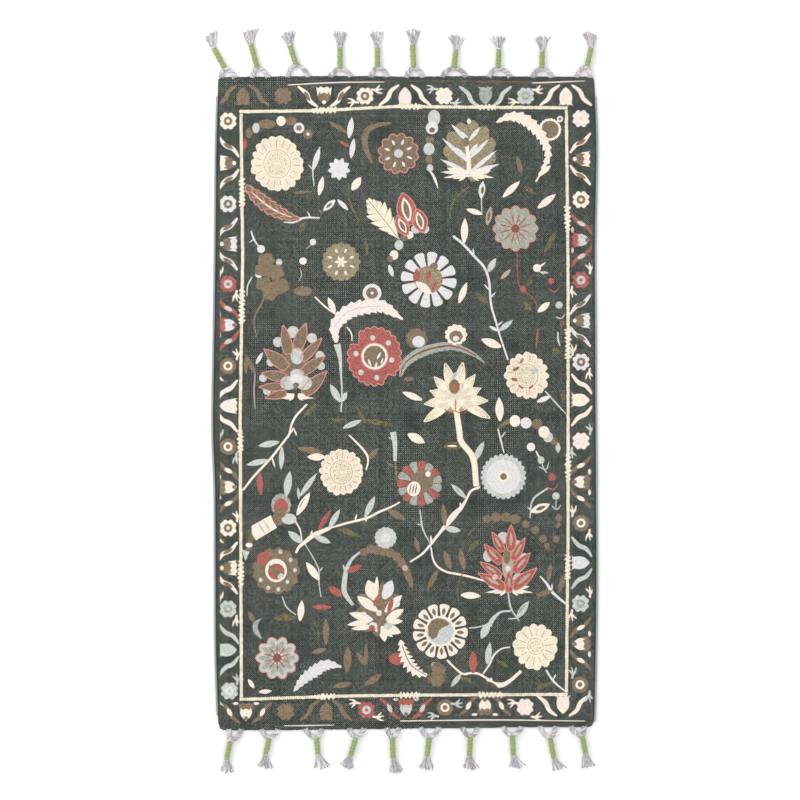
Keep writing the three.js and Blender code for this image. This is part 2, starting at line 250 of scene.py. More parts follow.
def bloom(centre: Points, radii: tuple[float, float], lobes: int = 0, notch: float = 0.0,
          turn: float = 0.0, tilt: float = 0.0, per_lobe: int = 6,
          dents: tuple[tuple[float, float], ...] = ()) -> Points:
    """Outlines a disc, or a flower with rounded lobes.

    Args:
        centre: Its middle.
        radii: Half its width and half its height.
        lobes: Number of lobes, or 0 for a plain disc.
        notch: Depth between two lobes as a share of the radius.
        turn: Degrees by which the lobes are turned.
        tilt: Degrees by which the whole outline is turned.
        per_lobe: Points for each lobe.
        dents: Directions in degrees and depths of single deep notches.

    Returns:
        The closed outline.
    """
    count = lobes * per_lobe if lobes else 16
    angle = np.arange(count) * 2 * np.pi / count + math.radians(turn)
    reach = 1 - notch * (1 - np.abs(np.cos(lobes * (angle - math.radians(turn)) / 2)))
    for degrees, depth in dents:
        away = np.angle(np.exp(1j * (angle - math.radians(degrees))))
        reach -= depth * np.exp(-(away / 0.17) ** 2)
    shape = np.column_stack([radii[0] * np.cos(angle), radii[1] * np.sin(angle)])
    return np.array(centre, float) + turned(shape * reach[:, None], tilt)


def wedge(centre: Points, inner: float, outer: float, degrees: float, spread: float,
          waist: float = 0.55) -> Points:
    """Outlines one wedge petal.

    Args:
        centre: Middle of the flower.
        inner: Radius at which the petal starts.
        outer: Radius at its rounded end.
        degrees: Direction in which it points, measured from right towards down.
        spread: Degrees from its middle line to its edge.
        waist: Width at its start as a share of that at its end.

    Returns:
        The closed outline.
    """
    a, s = math.radians(degrees), math.radians(spread)
    rows = [(inner, -s * waist), (outer - 2, -s), (outer - 0.5, -s * 0.75), (outer, -s * 0.3),
            (outer, s * 0.3), (outer - 0.5, s * 0.75), (outer - 2, s), (inner, s * waist)]
    return np.array([[centre[0] + r * math.cos(a + w), centre[1] + r * math.sin(a + w)]
                     for r, w in rows])


# Border tulips: x, y, heading in degrees from right towards down, and the dyes of cup, body,
# leaves and flecks.
TULIPS = (
    (228, 163, 0, CREAM, BROWN, CREAM, None), (228, 244, 180, WHITE, BROWN, WHITE, None),
    (228, 325, 0, RED, WHITE, RED, GREY), (228, 406, 180, CREAM, ROSE, CREAM, None),
    (228, 487, 0, BROWN, CREAM, BROWN, CREAM), (228, 568, 180, CREAM, BROWN, CREAM, None),
    (228, 650, 0, GREY, GREY, GREY, None), (581, 159, 180, CREAM, BROWN, CREAM, None),
    (581, 240, 0, RED, GREY, RED, GREY), (581, 320.6, 180, WHITE, BROWN, WHITE, None),
    (581, 400, 0, CREAM, CREAM, CREAM, None), (581, 482, 180, BROWN, CREAM, BROWN, CREAM),
    (581, 562.7, 0, WHITE, WHITE, GREY, None), (581, 644, 180, BROWN, CREAM, BROWN, CREAM),
    (243, 96, -90, BROWN, BROWN, BROWN, None), (324, 96, 90, CREAM, BROWN, CREAM, None),
    (405, 96, -90, ROSE, ROSE, CREAM, None), (485.5, 96, 90, SLATE, SLATE, GREY, None),
    (565.8, 96, -90, CREAM, CREAM, CREAM, None), (246, 712, 90, BROWN, CREAM, BROWN, CREAM),
    (326, 711, -90, BROWN, BROWN, BROWN, None), (406, 708, 90, RED, GREY, RED, GREY),
    (485, 706, -90, BROWN, CREAM, BROWN, CREAM), (563, 705, 90, CREAM, CREAM, CREAM, None))
# Flowers of the borders: middle, petals, heart and whether ringed.
FLOWERS = (
    (228, 121, CREAM, BROWN, False), (228, 204, WHITE, BROWN, False), (228, 284, RED, GREY, False),
    (228, 366, BROWN, BROWN, True), (228, 446.6, BROWN, BROWN, True), (228, 528, CREAM, BROWN, False),
    (228, 609, GREY, SLATE, False), (229.5, 691, GREY, WHITE, False), (581, 118.6, ROSE, CREAM, False),
    (581, 199.6, CREAM, BROWN, False), (581, 280, RED, GREY, False), (581, 362, WHITE, BROWN, False),
    (581, 441, CREAM, ROSE, False), (581, 523, BROWN, BROWN, True), (580.5, 603.5, GREY, SLATE, False),
    (580, 684.6, BROWN, BROWN, True), (283, 96, BROWN, BROWN, False), (365, 96, CREAM, BROWN, False),
    (444, 96, CREAM, ROSE, False), (525.6, 96, GREY, SLATE, False), (285.7, 711.5, BROWN, BROWN, False),
    (366.5, 710, RED, GREY, False), (445, 707.5, BROWN, BROWN, True), (525, 707, ROSE, CREAM, False))
# Thin lines along the hems, and the field's short bent stems under TWIGS: start, end, how far
# they bend and width.
HEM_LINES = {
    CREAM: ((288, 85, 384, 82, -1, 1.8), (532, 83, 585, 81, 0, 1.8), (400, 721, 585, 721, -1, 1.9)),
    OLIVE: ((409, 81, 469, 81, 0, 1.5), (234, 728, 283, 726, 0, 1.1)),
    RUST: ((471, 82, 531, 82, 0, 1.6),),
    WHITE: ((284, 726, 334, 725, 0, 1.9),)}
# Longer stems: dye, widths spread along them, and points.
STEMS = (
    (BROWN, (2, 5, 6.5, 5.5, 2.4), [(391, 123), (378, 125), (367, 131), (365, 145), (372, 163)]),
    (BROWN, (3, 4, 2), [(294, 193), (303, 192), (312, 192)]),
    (CREAM, (2.5, 4, 1.2), [(430, 171), (434, 177), (438, 188)]),
    (CREAM, (4, 2.4, 2), [(469, 173), (468, 150), (464, 138)]),
    (OLIVE, (1.5, 4, 3, 1.5), [(470, 186), (456, 197), (451, 208), (450, 219)]),
    (BROWN, (2, 2.6, 2.6, 1.6), [(264, 292), (263, 301), (256, 313), (254, 324), (257, 337)]),
    (GREY, (7, 3.4, 1.8, 1.6, 1.6), [(337, 344), (340, 358), (341, 375), (342, 393), (341, 412)]),
    (CREAM, (2.4, 3.4, 3.4, 3), [(294, 428), (282, 444), (271, 458), (255, 475), (243, 490)]),
    (WHITE, (3.8, 3.6, 3, 2.4), [(453, 236), (463, 244), (474, 256), (484, 267), (489, 281), (491, 304),
        (496, 322), (500, 336), (508, 360)]),
    (RUST, (2.6, 2.4, 2.6, 2), [(517, 250), (518, 281), (524, 290), (535, 301), (538, 313)]),
    (BROWN, (1.2, 4, 6), [(497, 429), (505, 423), (513, 421)]),
    (CREAM, (2.2, 3, 3.4, 2), [(349, 435), (355, 441), (361, 447), (367, 455), (368, 462), (366, 470)]),
    (GREY, (6, 4.5, 3), [(393, 432), (395, 445), (395, 461)]),
    (CREAM, (2, 3.4, 3.6, 3.4, 2.4), [(400, 502), (391, 507), (379, 512), (367, 518), (347, 523),
        (330, 528)]),
    (CREAM, (3.4, 5, 3.6, 2.2), [(330, 528), (314, 535), (305, 542), (299, 547), (296, 553)]),
    (GREY, (1.4, 1.6, 1.8, 1.4), [(305, 544), (311, 554), (316, 563), (319, 571), (319, 583),
        (321, 597)]),
    (GREY, (1.8, 3.2, 5, 5, 3), [(360, 552), (352, 559), (347, 568), (345, 577), (344, 590), (347, 597),
        (353, 605)]),
    (ROSE, (2.4, 2.4, 6.4, 2.8, 2.4, 1.6), [(480, 487), (471, 491), (466, 500), (461, 508), (455, 514),
        (447, 524), (438, 535), (431, 544), (422, 554), (410, 562)]),
    (CREAM, (2.2, 3.2, 3.2, 2.4), [(431, 547), (433, 559), (438, 567), (447, 572), (457, 574), (471, 577),
        (488, 582)]),
    (WHITE, (2, 4, 4, 3), [(540, 576), (547, 584), (552, 592), (566, 604)]),
    (GREY, (2, 2, 4, 5), [(511, 611), (501, 612), (493, 619), (489, 626)]),
    (CREAM, (3, 3, 3.4, 3.2), [(447, 660), (455, 668), (463, 674), (471, 673), (479, 674), (488, 679)]),
    (CREAM, (3.2, 5.5, 3.4, 3), [(487, 679), (494, 684), (502, 685), (511, 680), (521, 671)]),
    (WHITE, (2, 2.6, 3.4, 2), [(510, 647), (501, 649), (494, 655), (489, 665), (483, 674)]))
TWIGS = {
    GREY: ((320, 147, 314, 186, 4, 2.6), (483, 181, 482, 215, 1, 2), (556, 317, 565, 314, 3, 1.8),
        (558, 332, 560, 346, 1, 3), (545, 391, 566, 414, 0, 2.4), (282, 596, 296, 615, 3, 2),
        (420, 510, 431, 545, 3, 2.4), (548, 488, 530, 518, 7, 2.8), (542, 463, 547, 473, 1, 1.8),
        (539, 467, 549, 462, 5, 1.8), (552, 506, 561, 505, 4, 1.8), (558, 443, 558, 453, -1, 3.2),
        (508, 592, 519, 621, 3, 2.8), (469, 628, 488, 624, 1, 2.2)),
    OLIVE: ((348, 183, 361, 224, 4, 3.2), (365, 238, 367, 256, -1, 3), (306, 612, 320, 640, -3, 1.8),
        (464, 570, 459, 605, 4, 2.2), (475, 528, 469, 545, 4, 2.4)),
    WHITE: ((297, 219, 320, 218, -1, 3), (302, 219, 284, 222, -2, 2.6), (251, 231, 259, 247, 1, 2.8),
        (252, 277, 247, 296, 2, 2), (498, 429, 504, 453, 0, 2.6), (546, 670, 565, 691, 2, 3.4)),
    TAN: ((300, 268, 299, 281, -2, 1.8), (312, 244, 306, 249, 0, 1.8), (255, 374, 255, 409, 1, 2)),
    CREAM: ((315, 297, 338, 316, 1, 2.6), (347, 327, 352, 341, -2, 2.2), (307, 404, 288, 438, 4, 3.4),
        (294, 519, 302, 541, -2, 2.4)),
    RED: ((549, 289, 559, 287, 4, 2), (547, 487, 558, 484, 4, 2)),
    BROWN: ((395, 461, 397, 482, 0, 3),),
    ROSE: ((536, 451, 540, 459, 0, 2.6),)}
# Thorns, leaves and the dark or pale flecks inside leaves: base, tip and width.
THORNS = {
    OLIVE: ((308, 134, 312, 142, 1.6), (319, 195, 318, 200, 1.3)),
    GREY: ((313, 170, 308, 164, 1.3), (538, 270, 544, 275, 1.1), (394, 440, 388, 437, 1.6),
        (319, 572, 323, 567, 1.3), (345, 572, 343, 564, 1.9), (421, 525, 417, 524, 1.6),
        (531, 510, 527, 507, 1.6), (556, 499, 556, 509, 1.1), (508, 619, 518, 618, 1.6)),
    BROWN: ((319, 209, 322, 215, 1.6), (385, 461, 394, 467, 2.1)),
    WHITE: ((311, 218, 307, 211, 1.4), (254, 239, 249, 243, 1.1), (474, 255, 473, 248, 1.6),
        (490, 298, 496, 292, 1.6), (489, 290, 484, 284, 1.6), (497, 326, 503, 321, 1.6),
        (501, 438, 506, 431, 1.3), (552, 590, 552, 583, 1.6), (553, 680, 556, 674, 1.6)),
    CREAM: ((272, 457, 275, 468, 1.9), (294, 429, 297, 436, 1.6), (311, 536, 312, 530, 1.9),
        (355, 520, 357, 514, 1.9), (366, 517, 366, 522, 1.9), (492, 682, 491, 677, 1.9)),
    RED: ((538, 328, 536, 350, 1.9),),
    ROSE: ((461, 508, 460, 502, 2.1), (431, 543, 431, 535, 1.9))}
LEAVES = {
    OLIVE: ((524, 187, 537, 195, 5), (557, 230, 544, 253, 5), (488, 303, 475, 293, 6),
        (296, 617, 273, 618, 7), (508, 667, 496, 660, 4), (552, 682, 533, 690, 4.5),
        (468, 552, 479, 540, 5), (461, 446, 443, 446, 8.5), (338, 528, 360, 537, 6),
        (563, 404, 563, 390, 4), (460, 677, 475, 683, 3.5), (498, 688, 486, 681, 3.5),
        (304, 417, 317, 403, 5), (329, 419, 347, 420, 4), (365, 422, 355, 405, 5),
        (365, 420, 394, 426, 5.5), (305, 222, 299, 233, 5), (532, 311, 523, 301, 4)),
    BROWN: ((517, 156, 522, 175, 5), (347, 133, 328, 121, 4.5), (322, 452, 297, 448, 6.5),
        (369, 459, 378, 448, 6), (388, 510, 406, 520, 7), (246, 374, 246, 355, 4),
        (255, 374, 246, 355, 5), (255, 623, 248, 611, 5), (326, 644, 326, 618, 6.5),
        (326, 649, 311, 653, 5.5), (347, 672, 348, 646, 8), (365, 665, 357, 652, 5.5),
        (366, 665, 366, 643, 4), (365, 685, 382, 674, 7), (333, 687, 352, 683, 6),
        (445, 526, 443, 503, 6), (419, 552, 415, 537, 5), (451, 570, 444, 550, 6.5),
        (464, 570, 460, 548, 6.5), (438, 570, 427, 590, 5.5), (403, 560, 413, 590, 7),
        (548, 582, 551, 562, 4.5), (559, 592, 565, 573, 5.5), (552, 591, 535, 596, 5.5)),
    RED: ((339, 141, 350, 147, 3.4), (259, 472, 261, 496, 6.5), (318, 531, 331, 509, 5),
        (347, 572, 362, 565, 6.5), (342, 596, 328, 586, 7.5), (331, 607, 312, 607, 5.5),
        (473, 673, 473, 651, 8.5)),
    WHITE: ((313, 170, 320, 147, 5.7), (349, 138, 352, 117, 6.4), (351, 158, 354, 138, 5.7),
        (335, 200, 323, 211, 6.5), (348, 210, 337, 199, 4.5), (481, 198, 483, 181, 6.8),
        (389, 265, 393, 277, 5), (256, 364, 263, 352, 4), (498, 331, 489, 326, 3.2)),
    GREY: ((340, 402, 330, 384, 7), (341, 402, 347, 392, 5.5), (488, 272, 496, 258, 6.5),
        (541, 272, 549, 273, 2.4), (499, 331, 513, 320, 5.4), (343, 428, 362, 420, 5.5),
        (279, 442, 258, 446, 6.5), (282, 447, 281, 470, 5.5), (268, 460, 246, 465, 6),
        (286, 496, 290, 471, 8), (300, 496, 317, 473, 5.5), (299, 499, 298, 487, 3),
        (329, 528, 340, 509, 6), (365, 517, 375, 496, 6.5), (314, 536, 331, 543, 6.5),
        (302, 543, 288, 531, 7.5), (474, 462, 484, 441, 6.5), (466, 498, 451, 484, 5.5),
        (445, 528, 461, 531, 6.5), (461, 674, 451, 687, 5), (487, 664, 490, 642, 6.5),
        (489, 623, 481, 639, 8), (517, 618, 529, 601, 7)),
    CREAM: ((352, 190, 361, 177, 8), (319, 195, 323, 176, 6), (503, 197, 520, 181, 6.5),
        (482, 214, 466, 209, 5.5), (464, 243, 465, 218, 7.5), (459, 303, 467, 282, 6.5),
        (501, 347, 481, 339, 8.4), (538, 312, 550, 302, 6.5), (422, 400, 402, 392, 6.5),
        (500, 421, 499, 397, 8.5), (335, 313, 328, 297, 6.2), (537, 269, 546, 262, 2),
        (325, 457, 307, 457, 7.5), (297, 515, 310, 492, 7.5), (319, 580, 306, 562, 7.5),
        (300, 621, 302, 600, 7), (461, 595, 481, 596, 7), (531, 512, 550, 504, 8.5),
        (254, 688, 248, 679, 4.5), (408, 434, 425, 443, 9)),
    ROSE: ((538, 208, 556, 194, 7), (537, 402, 551, 396, 5), (259, 692, 272, 691, 4.5)),
    TAN: ((501, 279, 511, 269, 4.4), (487, 225, 491, 206, 6))}
FLECKS = {
    OLIVE: ((332, 203, 326, 208, 2.6), (482, 194, 483, 186, 3), (536, 510, 546, 506, 3.6),
        (299, 508, 305, 498, 0.9)),
    RUST: ((488, 221, 490, 210, 2.6),),
    CREAM: ((457, 446, 447, 446, 2.2),),
    SLATE: ((518, 614, 526, 604, 3), (463, 495, 455, 488, 1.6))}
# Beads, berries and blots: middle, half width and half height.
BEADS = {
    RED: ((245, 144, 2.2, 5), (523, 289, 3.2, 3.6), (551, 281, 3, 3), (552, 477, 3.8, 3.8),
        (397, 659, 8, 6)),
    RUST: ((562, 324, 2.6, 3), (549, 550, 2, 2)),
    BROWN: ((249, 133, 3.2, 5.4), (267, 124, 9, 4.6), (291, 121, 6, 4.4), (430, 140, 4.2, 3.8),
        (429, 160, 3.6, 4.2), (303, 291, 9, 5), (409, 379, 5, 2.2), (550, 130, 8.7, 8.7),
        (308, 134, 5, 5), (537, 424, 5, 5.5), (554, 441, 4, 4), (278, 519, 6, 7), (249, 549, 3.2, 3),
        (487, 519, 4, 4.2), (496, 517, 5, 4.8), (506, 517, 5, 5), (515, 519, 5.2, 5), (526, 524, 3.6, 4),
        (535, 530, 4, 4.2), (543, 539, 4, 4), (547, 546, 3, 3.2), (559, 518, 3.6, 3.8),
        (558, 525, 2.6, 2.8), (556, 539, 3.6, 3.4), (439, 670, 6.5, 6), (364, 552, 4.2, 4),
        (370, 549, 4.2, 4.6), (377, 550, 4.4, 5), (383, 551, 4.4, 5), (390, 553, 4.6, 5),
        (397, 557, 4.4, 5), (402, 563, 4, 5)),
    OLIVE: ((529, 282, 3, 3), (528, 307, 3, 3.4), (556, 351, 3.4, 3.8), (252, 534, 4.6, 6.6),
        (437, 678, 10, 7)),
    TAN: ((434, 665, 3, 3), (405, 568, 3, 3)),
    GREY: ((256, 128, 3.6, 5.2), (434, 118, 6.2, 8.2), (429, 149, 5.6, 6.2), (430, 168, 3.4, 3.8),
        (279, 262, 3.2, 3.2), (559, 305, 3.6, 3.6), (548, 437, 5, 5.4), (558, 448, 2.6, 3.4),
        (541, 460, 3.4, 3.8), (556, 496, 3.7, 3.7), (289, 519, 7.5, 5.5), (399, 245, 4.4, 5),
        (416, 229, 5, 4.6), (425, 229, 4.2, 4.4)),
    WHITE: ((432, 128, 6.2, 6.4), (526, 423, 5.6, 5.6), (261, 249, 4, 4), (259, 274, 4, 4),
        (313, 242, 3.2, 3.2), (299, 128, 5.4, 5.4), (372, 293, 9.5, 9.2), (560, 119, 3.2, 3.2)),
    CREAM: ((281, 121, 4.6, 5), (303, 261, 3.8, 3.6), (394, 255, 4.4, 4.8), (515, 421, 5.4, 6),
        (544, 432, 5.6, 6), (531, 447, 4.2, 4.2), (537, 268, 4, 4), (409, 235, 4.6, 4),
        (249, 545, 3.6, 2.4))}
BEAD_EYES = {
    BROWN: ((299, 128, 2.8, 2.8), (432, 130, 3, 2.6), (372, 293, 6, 5.8), (390, 259, 3, 3.4),
        (404, 238, 4, 3), (560, 119, 1.4, 1.4)),
    WHITE: ((308, 134, 1.6, 1.6), (372, 293, 1.6, 1.6))}


@dataclass
class Design:
    """The printed design: patches in the order in which they are laid, and lines sewn over it."""

    patches: list[tuple[Points, Dye]] = field(default_factory=list)
    sewn: list[Points] = field(default_factory=list)
    slimness: float = 0.68

    def lay(self, outline: Points, dye: Dye, sewn: bool = False) -> None:
        """Lays one patch.

        Args:
            outline: Its closed outline in chart squares.
            dye: Its colour.
            sewn: Whether a pink thread follows its outline.
        """
        self.patches.append((np.asarray(outline, float), dye))
        if sewn:
            self.sewn.append(closed(outline))

    def lay_leaves(self, leaves: dict[Dye, tuple]) -> None:
        """Lays pointed leaves.

        Args:
            leaves: For each dye rows of a base, a tip and a width.
        """
        for dye, rows in leaves.items():
            for base_x, base_y, tip_x, tip_y, width in rows:
                self.lay(leaf((base_x, base_y), (tip_x, tip_y), width), dye)

    def lay_stems(self, stems: tuple) -> None:
        """Lays curved stems.

        Args:
            stems: Rows of a dye, widths along the stem and its points.
        """
        for dye, widths, points in stems:
            slim = self.slimness if max(widths) < 5 else 1.0
            self.lay(ribbon(points, tuple(slim * width for width in widths)), dye)

    def lay_twigs(self, twigs: dict[Dye, tuple]) -> None:
        """Lays short bent stems.

        Args:
            twigs: For each dye rows of a start, an end, how far it bends and a width.
        """
        for dye, rows in twigs.items():
            for x, y, end_x, end_y, bend, width in rows:
                way = np.array([end_x - x, end_y - y])
                aside = np.array([-way[1], way[0]]) * bend / math.hypot(*way)
                slim = self.slimness * width
                self.lay(ribbon([(x, y), (x, y) + way / 2 + aside, (end_x, end_y)],
                                (0.8 * slim, slim, 0.6 * slim)), dye)

    def petals(self, rows: tuple, dye: Dye) -> None:
        """Lays pointed petals edged with pink thread.

        Args:
            rows: A base, a tip and a width for each.
            dye: Their colour.
        """
        for base_x, base_y, tip_x, tip_y, width in rows:
            base, tip = np.array([base_x, base_y]), np.array([tip_x, tip_y])
            self.lay(leaf(base, tip, width, lance=True), dye, sewn=True)
            if dye is RED:
                self.lay(leaf(base * 0.8 + tip * 0.2, base * 0.25 + tip * 0.75, width * 0.3), TAN)

    def lay_blooms(self, rows: tuple) -> None:
        """Lays discs, each row a middle, two half sizes and a dye, then what bloom takes."""
        for x, y, half_width, half_height, dye, *lobes in rows:
            self.lay(bloom((x, y), (half_width, half_height), *lobes), dye)

    def lay_spots(self, spots: dict[Dye, tuple]) -> None:
        """Lays round and oval spots.

        Args:
            spots: For each dye rows of a middle, half a width and half a height.
        """
        for dye, rows in spots.items():
            for x, y, half_width, half_height in rows:
                self.lay(bloom((x, y), (half_width, half_height)), dye)


@dataclass
class BorderDesign(Design):
    """Flowers and buds between the frame stitching and the cloth's edges."""

    aside: float = 8.8
    along: float = 7.5
    petal_radius: float = 9.0

    def rosette(self, x: float, y: float, petals: Dye, heart: Dye, ringed: bool = False) -> None:
        """Lays an eight-petalled flower, or a fuzzy disc with a pale ring.

        Args:
            x: Middle across the rug.
            y: Middle along the rug.
            petals: Dye of its petals.
            heart: Dye of its middle.
            ringed: Whether it is a disc with a ring instead of petals.
        """
        r = self.petal_radius
        if ringed:
            self.lay(bloom((x, y), (r - 0.4, r - 0.4), 16, 0.13, per_lobe=3), petals)
            self.lay(bloom((x, y), (4.6, 4.6)), CREAM)
            self.lay(bloom((x, y), (2.3, 2.3)), heart)
            return
        quarters = tuple((90.0 * k, 0.13) for k in range(4))
        self.lay(bloom((x, y), (r, r), 8, 0.13, 22.5, dents=quarters), petals)
        self.lay(bloom((x, y), (4.5, 4.5), 8, 0.08), heart)
        self.lay(bloom((x, y), (1.7, 1.7)), petals)

    def tulip(self, x: float, y: float, heading: float, cup: Dye, body: Dye, leaves: Dye,
              spot: Dye | None = None) -> None:
        """Lays a tulip with a curved leaf on each side.

        Args:
            x: Middle across the rug.
            y: Middle along the rug.
            heading: Direction of its tip, in degrees from right towards down.
            cup: Dye of its broad end.
            body: Dye of its round part.
            leaves: Dye of its two curved leaves.
            spot: Dye of a fleck on each leaf and at the tip.
        """
        def put(shape: list) -> Points:
            """Turns a shape to the tulip's heading and moves it to its middle."""
            return turned(shape, heading) + (x, y)

        if cup is body:
            self.lay(put([(-10, -7.8), (-7, -5.6), (-2, -6.6), (3, -5.6), (6.6, -2.8), (9, 0),
                          (6.6, 2.8), (3, 5.6), (-2, 6.6), (-7, 5.6), (-10, 7.8), (-8.4, 4.6),
                          (-9.6, 2), (-8, 0), (-9.6, -2), (-8.4, -4.6)]), body)
        else:
            self.lay(put([(-9.4, -7.8), (-7.4, -6), (-9.6, -3.4), (-8, 0), (-9.6, 3.4),
                          (-7.4, 6), (-9.4, 7.8), (-1, 6.6), (3, 4.5), (3, -4.5), (-1, -6.6)]), cup)
            self.lay(put([(-4.5, -5), (-2, -3.5), (-3.5, 0), (-2, 3.5), (-4.5, 5), (1, 6.2),
                          (5, 4.2), (9, 0), (5, -4.2), (1, -6.2)]), body)
            self.lay(put(bloom((6.2, 0), (2.0, 2.1))), cup)
        for side in (-1, 1):
            path = put([(-9.5, 26 * side), (-2.5, 17.5 * side), (5, 14 * side), (11, 6 * side)])
            self.lay(ribbon(path, (2.0, 3.8, 4.6, 3.8, 1.8)), leaves)
            if spot is None and cup is not body:
                self.lay(leaf(*put([(-4.5, 19.5 * side), (5.5, 13.8 * side)]), 4.2), body)
            if spot is not None:
                self.lay(leaf(*put([(-3.5, 18.5 * side), (4.5, 14.2 * side)]), 4.4), spot)
                self.lay(leaf(*put([(-8.5, 7.5 * side), (-8.5, 13.5 * side)]), 3.0), spot)

    def sprig(self, x: float, y: float, heading: float, dye: Dye) -> None:
        """Lays a small forked twig.

        Args:
            x: Its foot across the rug.
            y: Its foot along the rug.
            heading: Direction in which it grows, in degrees from right towards down.
            dye: Its colour.
        """
        for points, width in (([(-1.5, 0), (4, 0.6), (10, -0.6)], 2.0),
                              ([(2, 0.4), (5.5, 3), (10, 4)], 1.7),
                              ([(3, 0.4), (6, -2.5), (7.5, -4.5)], 1.6)):
            path = turned(points, heading) + (x, y)
            self.lay(ribbon(path, (width, width * 1.2, 0.7)), dye)

    def draw(self) -> None:
        """Lays the four borders and the thin lines along the hems."""
        for x, y, heading, cup, body, leaves, spot in TULIPS:
            self.tulip(x, y, heading, cup, body, leaves, spot)
        for x, y, petals, heart, ringed in FLOWERS:
            self.rosette(x, y, petals, heart, ringed)
        self.draw_sprigs()
        self.lay_twigs(HEM_LINES)

    def draw_sprigs(self) -> None:
        """Lays the small twigs beside the flowers, two to a flower."""
        # Across or along the rug: the flowers' line, their places, and which way is outwards.
        for x, ys, out in ((228, (121, 204, 284, 366, 446.6, 528, 609, 691), -1),
                           (581, (118.6, 199.6, 280, 362, 441, 523, 603.5, 684.6), 1)):
            for index, y in enumerate(ys):
                if index > 1:
                    dye, side = GREY if index % 3 == 1 else CREAM, out * (1 - 2 * (index % 2))
                    self.sprig(x + side * self.aside, y - self.along, -90, dye)
                    self.sprig(x - side * self.aside, y + self.along, 90, dye)
        for y, xs, out in ((96, (283, 365, 444, 525.6), -1), (710, (285.7, 366.5, 445, 525), 1)):
            for index, x in enumerate(xs):
                if index:
                    dye, side = CREAM if index % 2 else GREY, out * (1 - 2 * (index % 2))
                    self.sprig(x - self.along, y + side * self.aside * 0.75, 180, dye)
                    self.sprig(x + self.along, y - side * self.aside * 0.75, 0, dye)


